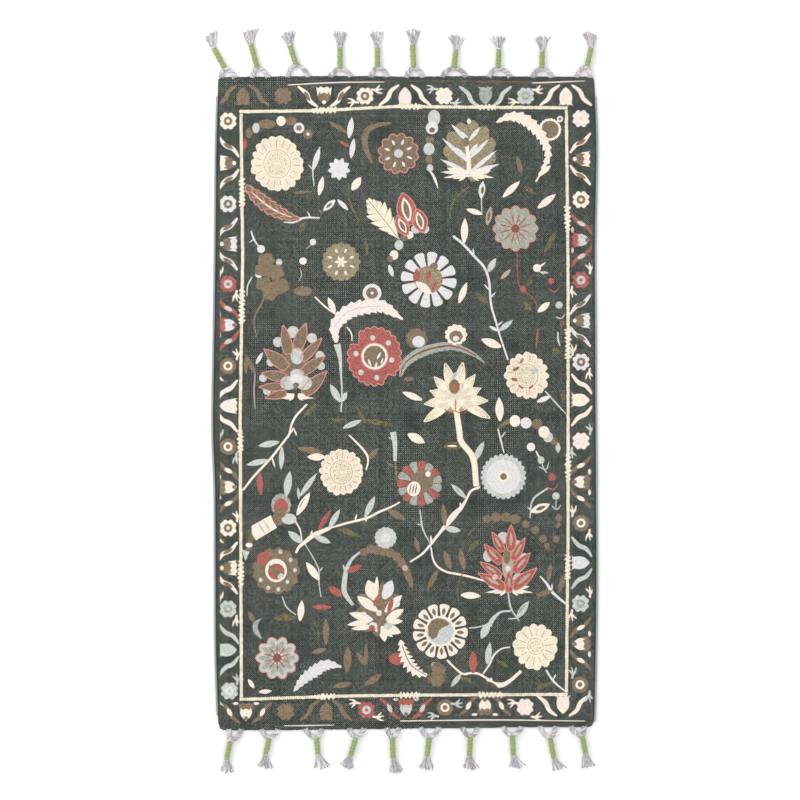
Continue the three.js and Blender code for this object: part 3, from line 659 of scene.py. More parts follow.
@dataclass
class FieldDesign(Design):
    """Flowers, leaves and vines of the middle field."""

    def dashes(self, centre: Points, inner: float, outer: float, count: int, width: float,
               dye: Dye, turn: float = 0.0) -> None:
        """Lays short rays round a middle.

        Args:
            centre: The middle.
            inner: Radius at which a ray starts.
            outer: Radius at which it ends.
            count: Number of rays.
            width: Width of a ray.
            dye: Its colour.
            turn: Direction of the first, in degrees from right towards down.
        """
        for k in range(count):
            ray = turned([(inner, 0), (outer, 0)], turn + 360 * k / count)
            self.lay(leaf(ray[0] + centre, ray[1] + centre, width), dye)

    def draw(self) -> None:
        """Lays the whole field, vines first."""
        self.lay_stems(STEMS)
        self.lay_twigs(TWIGS)
        for leaves in (THORNS, LEAVES, FLECKS):
            self.lay_leaves(leaves)
        self.draw_spots()
        self.draw_upper_flowers()
        self.draw_lower_flowers()
        self.draw_palmettes()

    def draw_spots(self) -> None:
        """Lays beads, berries and blots."""
        self.lay_spots(BEADS)
        self.lay_spots(BEAD_EYES)
        self.lay(bloom((385.6, 537.8), (11.2, 11), 14, 0.11, per_lobe=5), GREY)
        self.lay(bloom((385.6, 537.8), (5, 5)), WHITE)
        self.dashes((339, 169), 2, 11.5, 9, 6, WHITE, 10)
        self.lay(bloom((339, 169), (5, 5)), WHITE)
        self.lay(bloom((549.9, 129.5), (11.6, 11.6), 22, 0.12, per_lobe=3), CREAM)
        self.lay(bloom((549.9, 129.5), (8.8, 8.8)), BROWN)
        for x, y, radius in ((266, 260, 9), (275, 272, 10), (280, 286, 10), (264, 284, 9),
                             (270, 294, 8), (262, 270, 8)):
            self.lay(bloom((x, y), (radius, radius * 0.85), 5, 0.2, radius * 9), BROWN)

    def draw_upper_flowers(self) -> None:
        """Lays the round flowers of the upper half and the arcs beside them."""
        self.lay(bloom((398.5, 153.5), (20.5, 20.5), 12, 0.16, 10), BROWN, sewn=True)
        self.dashes((398.5, 153.5), 9, 15, 8, 2.6, WHITE, 20)
        self.lay(bloom((398.5, 153.5), (4.4, 4.4)), GREY)
        self.lay(bloom((515.5, 228.5), (22.5, 22.5), 12, 0.15), SLATE, sewn=True)
        self.dashes((515.5, 228.5), 3, 17, 12, 1.5, RED, 15)
        self.lay_blooms(((515.5, 228.5, 4.2, 4.2, RUST), (341, 261.9, 19.5, 19.5, KHAKI, 16, 0.1)))
        self.dashes((341, 261.9), 9.5, 14.5, 8, 2.6, WHITE, 22)
        self.dashes((341, 261.9), 0.5, 6.5, 6, 2.6, CREAM)
        # Serrated brown leaf, edged and ribbed with pink thread.
        spine = smooth([(246, 186), (257, 197), (271, 208), (285, 215), (299, 219)], 4)
        self.lay(ribbon(spine, (3, 9, 11, 10, 7, 2), 9, 2.4, (1, -1)), BROWN, sewn=True)
        self.lay(ribbon(spine[2:-2], (0.8, 1.8, 0.8)), CREAM)
        for place, ahead in zip(spine[2:-3:2], np.diff(spine, axis=0)[2:-3:2]):
            barb = turned(ahead / math.hypot(*ahead) * 6, 140)
            mirror = turned(ahead / math.hypot(*ahead) * 6, -140)
            self.sewn.append(np.array([place + barb, place + ahead * 0.5, place + mirror]))
        # Crescent leaf at the upper right corner.
        self.lay(ribbon([(496.3, 122.5), (508.4, 116.7), (521.2, 118), (531.4, 124.4),
                         (541.6, 135.9), (546.7, 147.3), (548, 157.6), (541.6, 171.6),
                         (535.8, 181.8)], (1, 6.5, 9, 8, 6, 4, 2, 1), 15, 2.6, (1, -1)), CREAM)
        self.lay(leaf((550.5, 165.8), (538.5, 176), 5), CREAM)
        # Flower of three petals, each with an almond eye.
        for base, tip, width in (((410, 225), (402.5, 192.5), 19), ((423, 232), (416.5, 208.5), 15),
                                 ((407, 235), (397, 215.5), 13)):
            self.lay(leaf(base, tip, width), RED, sewn=True)
            along = np.subtract(tip, base)
            self.lay(leaf(base + 0.12 * along, base + 0.86 * along, width * 0.52), CREAM)
            self.lay(leaf(base + 0.2 * along, base + 0.76 * along, width * 0.3), BROWN)
        # Scalloped crescent below it, left of the middle.
        arc = [(336.5, 342.5), (334.6, 327), (342.5, 316.5), (353, 309.6), (368.4, 306.6),
               (383, 306.6), (403, 319.5)]
        self.lay(ribbon(arc, (3, 9, 11.5, 12, 11.5, 8, 1), 13, 2.4, (1, -1)), ROSE)
        self.lay(ribbon(arc[1:-1], (0.5, 1.0, 0.5)), GREY)
        # Round red flower with a brown heart.
        middle = (374.5, 356.4)
        self.lay(bloom(middle, (27.5, 30), 22, 0.09, 8, per_lobe=4,
                       dents=((218, 0.26), (55, 0.2))), RED, sewn=True)
        for dot in ((372.7, 337.8), (388.3, 343), (391.7, 360), (356, 353.7), (361, 372.3),
                    (376.8, 377.6)):
            self.lay(bloom(dot, (2.6, 2.8)), GREY)
        self.lay(bloom(middle, (13.6, 13.6)), CREAM, sewn=True)
        self.lay(bloom(middle, (10.9, 10.9)), BROWN)
        self.lay_leaves({
            WHITE: ((377, 359, 381, 352, 2.4), (371, 366, 368, 359, 2.4), (375, 368, 377, 362, 2.4),
                (381, 364, 383, 358, 2))})
        # Daisy of wedge petals round a mottled disc.
        self.daisy((428.7, 279.7), 13.8, 28, 12, 11.4, 8, WHITE)
        self.lay(bloom((428.7, 279.7), (14, 14)), KHAKI)
        self.lay_leaves({
            RED: ((416, 284, 417, 268, 7), (427, 283, 430, 269, 5), (431, 293, 437, 280, 4.5))})
        self.lay(leaf((416, 282), (432, 294), 8), CREAM)
        self.lay(bloom((434, 266), (4, 3.4)), BROWN)
        # Arched leaf with a red rib, and two half flowers over it.
        arch = [(400, 377), (405, 363.5), (418, 353.5), (436, 347.5), (451, 346), (464, 349.5),
                (476.5, 356), (484.5, 363)]
        self.lay(ribbon(arch, (2, 8, 9.5, 9, 8, 6, 4, 1), 18, 1.0, (1,)), SLATE)
        self.lay(ribbon(arch[:-1], (0.8, 1.9, 1.9, 1.4)), RUST)
        self.lay_blooms((
            (416.6, 338.6, 11.4, 10.6, BROWN, 9, 0.12), (418.6, 341.6, 6.4, 5.6, WHITE),
            (456, 334.6, 11.4, 10.6, CREAM, 11, 0.14), (456, 336.5, 7, 6.2, BROWN, 7, 0.1),
            (456, 338.6, 3.2, 2.8, WHITE)))

    def daisy(self, centre: Points, inner: float, outer: float, petals: int, spread: float,
              turn: float, dye: Dye) -> None:
        """Lays a ring of wedge petals; a cream one has a dark slit in each.

        Args:
            centre: Its middle.
            inner: Radius at which the petals start.
            outer: Radius at which they end.
            petals: Number of petals.
            spread: Degrees from a petal's middle to its edge.
            turn: Direction of the first, in degrees from right towards down.
            dye: Dye of the petals.
        """
        for k in range(petals):
            degrees = turn + 360 * k / petals
            self.lay(wedge(centre, inner - 2, outer, degrees, spread, 1 if dye is WHITE else 0.55),
                     dye)
            if dye is CREAM:
                slit = turned([(inner + 2.5, 0), (outer - 3.5, 0)], degrees) + centre
                self.lay(leaf(slit[0], slit[1], 3.6), BROWN)
        if dye is CREAM:
            self.lay(bloom(centre, (inner + 1.4, inner + 1.4)), dye)

    def draw_lower_flowers(self) -> None:
        """Lays the round flowers of the lower half and the horn beside them."""
        # Mottled flower left of the stem.
        for k in range(15):
            degrees = 12 + 24 * k
            dye = RED if k % 2 else SLATE
            self.lay(wedge((419.5, 483.6), 9, 22.5, degrees, 11.5, 0.7), dye)
        self.lay(bloom((421.5, 482), (13, 11), tilt=-40), BROWN)
        self.lay(bloom((413.8, 488.8), (6.6, 7.6), tilt=20), CREAM)
        for shift in (-2.4, 0.6, 3.4):
            self.lay(leaf((411.6 + shift, 494), (413.6 + shift, 483.5), 1.3), BROWN)
        self.lay_blooms((
            (428, 474, 2.8, 2.8, CREAM), (503.5, 476.5, 23, 23, GREY, 25, 0.1, 4),
            (503.5, 476.5, 17, 17, WHITE), (503.5, 476.5, 6, 6, CREAM),
            (503.5, 476.5, 3.4, 3.4, BROWN)))
        # Brown flower with a pale crescent ring and pale dots.
        self.lay(bloom((276.1, 571), (24, 24), 13, 0.12), BROWN)
        self.lay(bloom((263.5, 558.5), (6, 7.5), tilt=40), RED)
        for x, y in ((280.4, 551.8), (290.6, 560), (295, 570), (287.4, 581.8), (278.4, 589.4),
                     (268.2, 588), (260.6, 579.9)):
            self.lay(bloom((x, y), (1.9, 2.3)), GREY)
        self.lay_blooms(((276.1, 570.5, 11, 11.8, CREAM), (276.4, 571.6, 8.4, 8.2, RED)))
        self.lay(leaf((269, 566), (284, 577), 6), BROWN)
        self.lay(bloom((280.5, 576), (3.4, 2.4), tilt=-40), GREY)
        # Banded horn.
        self.lay(bloom((281, 505), (10.2, 11.8), 12, 0.08, per_lobe=4), SLATE)
        self.lay_blooms(((281, 507, 7.2, 8.6, RED), (280, 513, 6, 5, BROWN)))
        self.lay([(271, 515), (251.5, 526), (252, 534), (256, 540.4), (277, 527.6), (273, 521)],
                 CREAM)
        self.lay_leaves({GREY: ((258, 523, 266, 535, 2.4), (263, 520, 271, 532, 2.4))})
        self.lay([(245.5, 541), (250, 533.5), (255.5, 540), (250.5, 543.5)], OLIVE)
        self.lay([(241.5, 549), (249.5, 552), (245.5, 561)], GREY)
        self.lay(bloom((277.2, 658), (21.5, 21.5), 10, 0.2), GREY, sewn=True)
        self.dashes((277.2, 658), 6, 19, 10, 5.5, SLATE, 0)
        self.dashes((277.2, 658), 2, 15, 10, 1.6, RED, 18)
        self.lay(bloom((277.2, 658), (4.6, 4.6), 7, 0.15), RUST)
        self.lay(ribbon([(260.4, 619), (256, 623.5), (255.5, 630), (261.4, 638.5)], (1, 5, 5, 1)),
                 SLATE)
        self.lay(ribbon([(293.8, 691.4), (303, 680), (315, 671), (327, 664.5), (341.6, 667)],
                        (1, 7, 9.5, 8.5, 1), 10, 2.2, (1, -1)), WHITE)
        # Daisy with a divided disc.
        self.daisy((440.2, 631.3), 14, 27.6, 13, 11.6, -80, CREAM)
        self.lay(bloom((440.2, 631.3), (13.4, 13.4)), GREY)
        self.lay([(428, 626), (432, 620), (438, 618), (445, 619.5), (450, 624), (444, 627),
                  (439, 630), (437, 637), (432, 639.5), (428.5, 635)], BROWN)
        # Fern leaf with a dark rib.
        self.lay(ribbon([(400.6, 640), (403.5, 652), (408.5, 663), (416, 671.5), (427, 675.5)],
                        (1.5, 4.5, 6.5, 5.5, 2), 9, 4.4, (1, -1)), CREAM)
        self.lay(ribbon([(402, 645), (407, 658), (413, 667), (426, 675)], (0.7, 0.9, 0.6)), INK)
        for x, y, radius in ((437, 679, 8), (437, 668, 6)):
            self.lay(bloom((x, y), (radius, radius), 6, 0.2, per_lobe=5), BROWN)

    def draw_palmettes(self) -> None:
        """Lays the four large fan-shaped flowers."""
        self.lay(bloom((470, 151), (27, 31), 11, 0.16, 16), KHAKI)
        for x, y in ((469, 118), (480, 127), (489, 139), (497, 150), (500, 164), (451, 124),
                     (442, 138), (440, 159), (441, 172), (461, 131), (478, 143), (456, 147)):
            root = min(y + 0.7 * abs(x - 469) + 6, 173)
            self.lay(leaf((469, root), (x, y), 4.2), WHITE)
        self.lay_leaves({CREAM: ((469, 176, 492, 168, 7), (469, 176, 447, 168, 7))})
        self.lay(ribbon([(469, 174), (468.6, 160), (466, 140)], (5, 4, 3)), CREAM)
        self.lay(bloom((465.8, 142), (3.4, 4.6)), BROWN)
        self.sprays((469, 176), 0.85)
        # Brown palmette on the left: pale lobes, then tiers of petals edged in pink.
        self.lay_spots({
            GREY: ((293, 332, 6, 6), (312, 338, 5, 5), (278, 342, 5, 5), (271, 362, 4.5, 4.5),
                (320, 356, 4.5, 5), (263, 378, 4, 4), (321, 366, 4, 4), (267, 391, 4, 4)),
            BROWN: ((294, 366, 15, 24),)})
        self.sprays((296, 397), 0.62)
        self.petals(((289, 354, 283, 325, 11), (297, 349, 306, 323, 12), (302, 360, 322, 338, 9.5),
                     (287, 368, 264, 349, 13), (302, 373, 325, 356, 10.5),
                     (286, 378, 261, 373, 10.5), (304, 394, 327, 371, 13),
                     (284, 387, 259, 387, 8.5), (286, 393, 265, 398, 8)), BROWN)
        self.lay_spots({
            GREY: ((297, 356, 6.4, 8.4), (297, 374, 7, 5), (288, 383, 8, 7), (304, 383, 8, 7)),
            WHITE: ((296, 379, 6.5, 5),),
            BROWN: ((296, 385, 3, 2.6),)})
        # Red palmette on the right, of the same build.
        self.lay_spots({
            GREY: ((503, 538, 6, 6), (517, 545, 5, 5), (488, 556, 5, 6), (524, 558, 5, 5),
                (496, 576, 6, 5), (519, 578, 6, 5)),
            TAN: ((508, 564, 6, 17),)})
        self.sprays((509, 591), 0.8)
        self.petals(((511, 551, 511, 525, 10.5), (503, 551, 492, 532, 8.5),
                     (501, 563, 484, 544, 10), (513, 560, 525, 538, 9), (514, 572, 530, 553, 10),
                     (501, 576, 480, 562, 9), (505, 588, 478, 573, 11), (513, 588, 537, 568, 11.5),
                     (509, 592, 509, 571, 9)), RED)
        self.lay_spots({
            BROWN: ((507, 556, 3.6, 8),),
            WHITE: ((508, 569, 2.6, 3), (495, 577, 2.6, 2.6))})
        self.cream_palmette()

    def sprays(self, base: Points, size: float) -> None:
        """Lays pale forked sprays to both sides of a flower's foot.

        Args:
            base: The foot.
            size: Their size, 1 for 30 squares a side.
        """
        for side in (-1, 1):
            for x, y, width in ((26, -6, 5), (19, 3, 5), (30, 2, 3.4), (12, 6, 4)):
                tip = (base[0] + side * x * size, base[1] + y * size)
                foot = (base[0] + side * 3 * size, base[1] - 5 * size)
                self.lay(leaf(foot, tip, width * size, bend=side * 1.2), CREAM)

    def cream_palmette(self) -> None:
        """Lays the pale palmette near the foot of the rug, mirrored about its stem."""
        self.lay(bloom((378.5, 610), (24, 27), 9, 0.24, 10), BROWN)
        self.lay_leaves({
            WHITE: ((384, 599, 392, 580, 12),),
            CREAM: ((375, 600, 368, 580, 13),)})
        self.lay_leaves({
            BROWN: ((379, 598, 383, 580, 4),),
            CREAM: ((376, 597, 377, 576, 4.6), (377, 611, 357, 596, 9.5), (385, 612, 402, 595, 8.5),
                (373, 620, 349, 613, 8), (371, 621, 347, 625, 6), (386, 620, 404, 609, 8),
                (387, 622, 403, 621, 6), (374, 626, 351, 629, 5.5), (385, 627, 401, 633, 9),
                (383, 628, 375, 631, 4.5), (382, 626, 385, 642, 8), (383, 630, 393, 637, 4.5)),
            RED: ((374, 606, 380, 594, 5), (388, 613, 393, 598, 5))})
        self.lay(ribbon([(379, 634), (379, 618), (379.5, 600)], (3, 3.4, 2.4)), BROWN)
        self.lay_spots({
            WHITE: ((364, 614, 2.6, 2.4), (379, 613, 2.8, 3), (373, 626, 4.4, 3.8),
                (397, 604, 3, 3)),
            GREY: ((388, 626, 4, 3.6),),
            RED: ((372, 628, 3.2, 3),)})


@dataclass
class Mesh:
    """Vertices, faces and one colour a face or a vertex, gathered before the object is made."""

    points: list = field(default_factory=list)
    faces: list = field(default_factory=list)
    tints: list = field(default_factory=list)
    count: int = 0

    def add(self, points: Points, faces: Points, tints: Points) -> None:
        """Adds a part.

        Args:
            points: Its vertices.
            faces: Its triangles, numbered within the part.
            tints: A colour for each vertex, or one for all.
        """
        self.points.append(np.asarray(points, float))
        self.faces.append(np.asarray(faces, int).reshape(-1, 3) + self.count)
        self.tints.append(np.broadcast_to(tints, (len(points), 4)))
        self.count += len(points)

    def build(self, name: str) -> bpy.types.Object:
        """Makes the object, with the colours as an attribute of its vertices."""
        return made(name, np.vstack(self.points), np.vstack(self.faces), "tint", "POINT",
                    np.vstack(self.tints))


def made(name: str, points: Points, faces: Points, attribute: str, domain: str,
         tints: Points) -> bpy.types.Object:
    """Makes a mesh object.

    Args:
        name: Its name.
        points: Its vertices.
        faces: Its triangles.
        attribute: Name of its colour attribute.
        domain: What has a colour each, POINT or CORNER.
        tints: The colours.

    Returns:
        The object.
    """
    mesh = bpy.data.meshes.new(name)
    mesh.from_pydata(points.tolist(), [], faces.tolist())
    colours = mesh.attributes.new(attribute, "FLOAT_COLOR", domain)
    colours.data.foreach_set("color", tints.astype(np.float32).ravel())
    mesh.update()
    return linked(name, mesh)


def linked(name: str, data: bpy.types.ID) -> bpy.types.Object:
    """Makes an object of its data and puts it in the scene.

    Args:
        name: Its name.
        data: Its mesh, camera or lamp.

    Returns:
        The object.
    """
    obj = bpy.data.objects.new(name, data)
    bpy.context.scene.collection.objects.link(obj)
    return obj


def inset(outline: Points, depth: float) -> Points:
    """Moves a closed outline inwards by a small depth.

    Args:
        outline: The outline, which runs anticlockwise.
        depth: How far it moves.

    Returns:
        The moved outline.
    """
    ahead = np.roll(outline, -1, axis=0) - np.roll(outline, 1, axis=0)
    ahead /= np.linalg.norm(ahead, axis=1, keepdims=True)
    return outline + np.column_stack([-ahead[:, 1], ahead[:, 0]]) * depth


def anticlockwise(outline: Points) -> Points:
    """Makes a closed outline run anticlockwise.

    Args:
        outline: The outline, either way round.

    Returns:
        The same points, turned round if need be.
    """
    x, y = outline[:, 0], outline[:, 1]
    turning = np.sum(x * np.roll(y, -1) - np.roll(x, -1) * y)
    return outline if turning > 0 else outline[::-1]


def closed(loop: Points) -> Points:
    """Returns a closed line with its first point again at the end."""
    return np.vstack([loop, loop[:1]])


def bridged(loop: Points, below: Points) -> Points:
    """Returns the triangles between two closed rows of vertices, one below the other."""
    a, b, c, d = loop, np.roll(loop, -1), below, np.roll(below, -1)
    return np.vstack([np.column_stack([a, c, d]), np.column_stack([a, d, b])])


def triangulated(outlines: list[Points], loose: Points | None = None) -> tuple:
    """Fills outlines with triangles.

    Args:
        outlines: Closed outlines, the first the outer one.
        loose: More points inside it.

    Returns:
        The points, the triangles, the number of the topmost outline at each triangle, and for
        each point of the first outline its number among the points.
    """
    points, faces = [], []
    for outline in outlines:
        outline = anticlockwise(np.asarray(outline, float))
        faces.append(list(range(len(points), len(points) + len(outline))))
        points += [Vector(p) for p in outline]
    if loose is not None:
        points += [Vector(p) for p in loose]
    filled = delaunay_2d_cdt(points, [], faces, 1, 1e-6, True)
    corners = np.array([[p.x, p.y] for p in filled[0]])
    inside = [(face, max(found)) for face, found in zip(filled[2], filled[5]) if 0 in found]
    triangles = np.array([face for face, _ in inside])
    top = np.array([number for _, number in inside])
    where = {source: index for index, sources in enumerate(filled[3]) for source in sources}
    return corners, triangles, top, [where[k] for k in faces[0]]


@dataclass
class Cloth:
    """The flat-woven cloth with its printed design."""

    thickness: float = 0.004
    rounding: float = 0.0012
    roll: float = 0.00013
    roll_lengths: tuple[float, float] = (0.23, 0.31)
    net: float = 0.036
    net_reach: tuple[float, float] = (0.43, 0.745)
    edge_step: float = 0.02
    flat: tuple[float, float] = (0.904, 1.54)
    reach: tuple[float, float, float, float] = (-0.4355, 0.4415, -0.7612, 0.7625)
    squeeze: float = 0.03

    def outline(self) -> Points:
        """Reads the cloth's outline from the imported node.

        Returns:
            Points along it, anticlockwise.
        """
        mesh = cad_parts["rug_cloth"].data
        co = np.zeros(len(mesh.vertices) * 3)
        mesh.vertices.foreach_get("co", co)
        co = co.reshape(-1, 3)
        wall = co[np.abs(co[:, 2] - self.rounding) < 1e-4, :2]
        wall = np.unique(np.round(wall, 5), axis=0)
        wall = wall[np.argsort(np.arctan2(wall[:, 1], wall[:, 0]))]
        path = []
        for a, b in zip(wall, np.roll(wall, -1, axis=0)):
            parts = max(int(math.hypot(*(b - a)) / self.edge_step), 1)
            path += [a + (b - a) * k / parts for k in range(parts)]
        return np.array(path)

    def top(self, points: Points) -> Points:
        """Gives the height of the cloth's upper side, which rolls very slightly.

        Args:
            points: Places on it.

        Returns:
            The height at each.
        """
        x, y = points[:, 0], points[:, 1]
        wave = np.sin(2 * np.pi * x / self.roll_lengths[0] + 3 * y)
        wave += np.sin(2 * np.pi * y / self.roll_lengths[1] + 2 * x)
        return self.thickness + self.roll * wave

    def build(self, patches: list[tuple[Points, Dye]]) -> bpy.types.Object:
        """Makes the closed cloth.

        Args:
            patches: Outlines of the printed design in chart squares, and their dyes.

        Returns:
            The cloth, with an attribute that holds its print.
        """
        edge = self.outline()
        low_x, high_x, low_y, high_y = self.reach
        shapes, dyes = [inset(edge, self.rounding)], [(0.0, 0.0, 0.0, 0.0)]
        for chart, dye in patches:
            drawn = on_cloth(chart)
            kept = np.clip(drawn, (low_x, low_y), (high_x, high_y))
            shapes.append(kept + (drawn - kept) * self.squeeze)
            dyes.append(dye.colour())
        xs, ys = (np.arange(-half, half + 1e-6, self.net) for half in self.net_reach)
        loose = np.array([(x, y) for x in xs for y in ys])
        flat, triangles, top, ring = triangulated(shapes, loose)
        dyes = np.array(dyes)
        points = [np.column_stack([flat, self.top(flat)])]
        faces = [triangles]
        tints = [dyes[top]]
        count, loop = len(flat), np.array(ring)
        # Rows round the edge, in shares of its rounding: how far in, and how far under the top or,
        # where negative, over the underside.
        for depth, height in ((0.35, 0.35), (0, 1), (0, -1), (0.35, -0.35), (1, 0)):
            rim = inset(edge, self.rounding * depth)
            level = self.top(rim) - self.rounding * height if height > 0 else (
                np.full(len(rim), -self.rounding * height))
            points.append(np.column_stack([rim, level]))
            below = np.arange(count, count + len(rim))
            count += len(rim)
            faces.append(bridged(loop, below))
            loop = below
        under, under_faces, _, under_ring = triangulated([points[-1][:, :2]])
        number = np.zeros(len(under), int)
        number[under_ring] = loop
        faces.append(number[under_faces][:, ::-1])
        tints.append(np.zeros((sum(len(f) for f in faces[1:]), 4)))
        return made("printed_cloth", np.vstack(points), np.vstack(faces), "print", "CORNER",
                    np.repeat(np.vstack(tints), 3, axis=0))


def pad(mesh: Mesh, outline: Points, high: float = 0.0047, rounding: float = 0.0008,
        yarn: Yarn = Yarn.SHADE, low: float = 0.0039) -> None:
    """Adds the padding under a patch of stitches; by default its dark yarn is painted shade where it
    shows between them.

    Args:
        mesh: Where it is added.
        outline: Its closed outline.
        high: Height of its top.
        rounding: How far its top is drawn in.
        yarn: Its colour, by default the dark yarn of painted shade.
        low: Height of its underside.
    """
    edge = anticlockwise(outline)
    flat, triangles, _, ring = triangulated([inset(edge, rounding)])
    count, loop = len(flat), np.array(ring)
    points, faces = [np.column_stack([flat, np.full(count, high)])], [triangles]
    for height in ((low + 2 * high) / 3, low):
        points.append(np.column_stack([edge, np.full(len(edge), height)]))
        below = np.arange(count, count + len(edge))
        count += len(edge)
        faces.append(bridged(loop, below))
        loop = below
    _, under_faces, _, under_ring = triangulated([edge])
    number = np.zeros(max(under_ring) + 1, int)
    number[under_ring] = loop
    faces.append(number[under_faces][:, ::-1])
    mesh.add(np.vstack(points), np.vstack(faces), yarn.colour())


@dataclass(frozen=True)
class Stitch:
    """One kind of stitch: its pace along a row and the size of its grains."""

    pace: float
    width: float
    height: float
    yarn: Yarn = Yarn.CREAM
    lift: float = 0.0044
    slant: float = 0.0
    overlap: float = 1.25


@dataclass
class Stitching:
    """Grains of yarn sewn side by side on the cloth."""

    name: str
    seed: int
    sides: int = 5
    unevenness: float = 0.09
    shade_spread: float = 0.06
    # depth_shade is painted shade: a grain darkens from its top down to its lower sides and ends, and its
    # top gets a slight painted highlight.
    depth_shade: tuple[float, float, float, float] = (0.40, 0.58, 0.95, 1.03)
    mesh: Mesh = field(default_factory=Mesh)

    def __post_init__(self) -> None:
        """Starts its own row of chance values."""
        self.chance = np.random.default_rng(self.seed)

    def template(self) -> tuple[Points, Points]:
        """Makes one grain of length, width and height 1.

        Returns:
            Its points and its triangles.
        """
        stations = (-0.36, 0.0, 0.36)
        angle = np.arange(self.sides) * 2 * np.pi / self.sides + np.pi / 2
        points = [(-0.5, 0.0, -0.22)]
        for along in stations:
            girth = 0.5 if along == 0 else 0.38
            arch = 0.0 if along == 0 else -0.1
            points += [(along, girth * math.cos(a), girth * math.sin(a) + arch) for a in angle]
        points.append((0.5, 0.0, -0.22))
        n, faces = self.sides, []
        for k in range(n):
            after = (k + 1) % n
            faces.append((0, 1 + after, 1 + k))
            for ring in range(2):
                a, b = 1 + ring * n + k, 1 + ring * n + after
                faces += [(a, b, b + n), (a, b + n, a + n)]
            faces.append((1 + 2 * n + k, 1 + 2 * n + after, 1 + 3 * n))
        return np.array(points), np.array(faces)

    def grains(self, places: Points, headings: Points, length: float, width: float,
               height: float, yarn: Yarn, lift: float = 0.0042) -> None:
        """Lays grains.

        Args:
            places: Their middles.
            headings: Their directions in radians.
            length: Length of a grain.
            width: Width of a grain.
            height: Height of a grain.
            yarn: Their colour.
            lift: Height of their undersides.
        """
        if not len(places):
            return
        shape, faces = self.template()
        count = len(places)
        wild = 1 + self.unevenness * self.chance.uniform(-1, 1, (count, 3))
        size = np.array([length, width, height]) * wild
        turn = np.asarray(headings) + self.unevenness * self.chance.uniform(-1, 1, count)
        body = shape[None] * size[:, None]
        c, s = np.cos(turn)[:, None], np.sin(turn)[:, None]
        points = np.stack([places[:, :1] + body[..., 0] * c - body[..., 1] * s,
                           places[:, 1:2] + body[..., 0] * s + body[..., 1] * c,
                           lift + body[..., 2] + height / 2], axis=2)
        numbers = faces[None] + (np.arange(count) * len(shape))[:, None, None]
        shade = 1 + self.shade_spread * self.chance.uniform(-1, 1, (count, 1))
        # Painted shade on the grain's lower sides and ends and a slight painted highlight on its top, set
        # by height within the grain; shade_spread before it is random tone.
        shade = shade * np.interp(shape[:, 2], (-0.45, -0.2, 0.15, 0.5), self.depth_shade)[None]
        tint = np.array(yarn.colour())[:3] * shade[..., None]
        tint = np.concatenate([tint, np.ones((count, len(shape), 1))], axis=2)
        self.mesh.add(points.reshape(-1, 3), numbers.reshape(-1, 3), tint.reshape(-1, 4))

    def run(self, path: Points, kind: Stitch) -> None:
        """Lays one row of stitches along a path."""
        places, headings = paced(path, kind.pace)
        self.grains(places, headings + kind.slant, kind.pace * kind.overlap, kind.width,
                    kind.height, kind.yarn, kind.lift)

    def chain(self, path: Points, kind: Stitch) -> None:
        """Lays one row of chain stitch, two leaning grains to a link.

        Args:
            path: The row's middle line.
            kind: The stitch of one link.
        """
        places, headings = paced(path, kind.pace)
        side = np.column_stack([-np.sin(headings), np.cos(headings)])
        for sign in (-1, 1):
            self.grains(places + side * sign * kind.width * 0.23, headings - sign * 0.28,
                        kind.pace * kind.overlap, kind.width * 0.6, kind.height, kind.yarn,
                        kind.lift)

    def finish(self, slot: str, material: bpy.types.Material, replaced: tuple = ()) -> None:
        """Makes the object, dresses it and fixes it to the rug."""
        obj = self.mesh.build(self.name)
        settle(obj, material, replaced)


def settle(obj: bpy.types.Object, material: bpy.types.Material,
           replaced: tuple[str, ...] = (), smooth_shading: bool = True) -> None:
    """Dresses a finished piece and fixes it to the rug.

    Args:
        obj: The piece.
        material: Its material.
        replaced: Names of the solids that it stands for.
        smooth_shading: Whether its faces are shaded smoothly.
    """
    obj.data.materials.clear()
    obj.data.materials.append(material)
    if smooth_shading:
        obj.data.shade_smooth()
    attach(obj, "root")
    if replaced:
        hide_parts(*replaced)
    log.info("%s: %d triangles", obj.name, len(obj.data.polygons))


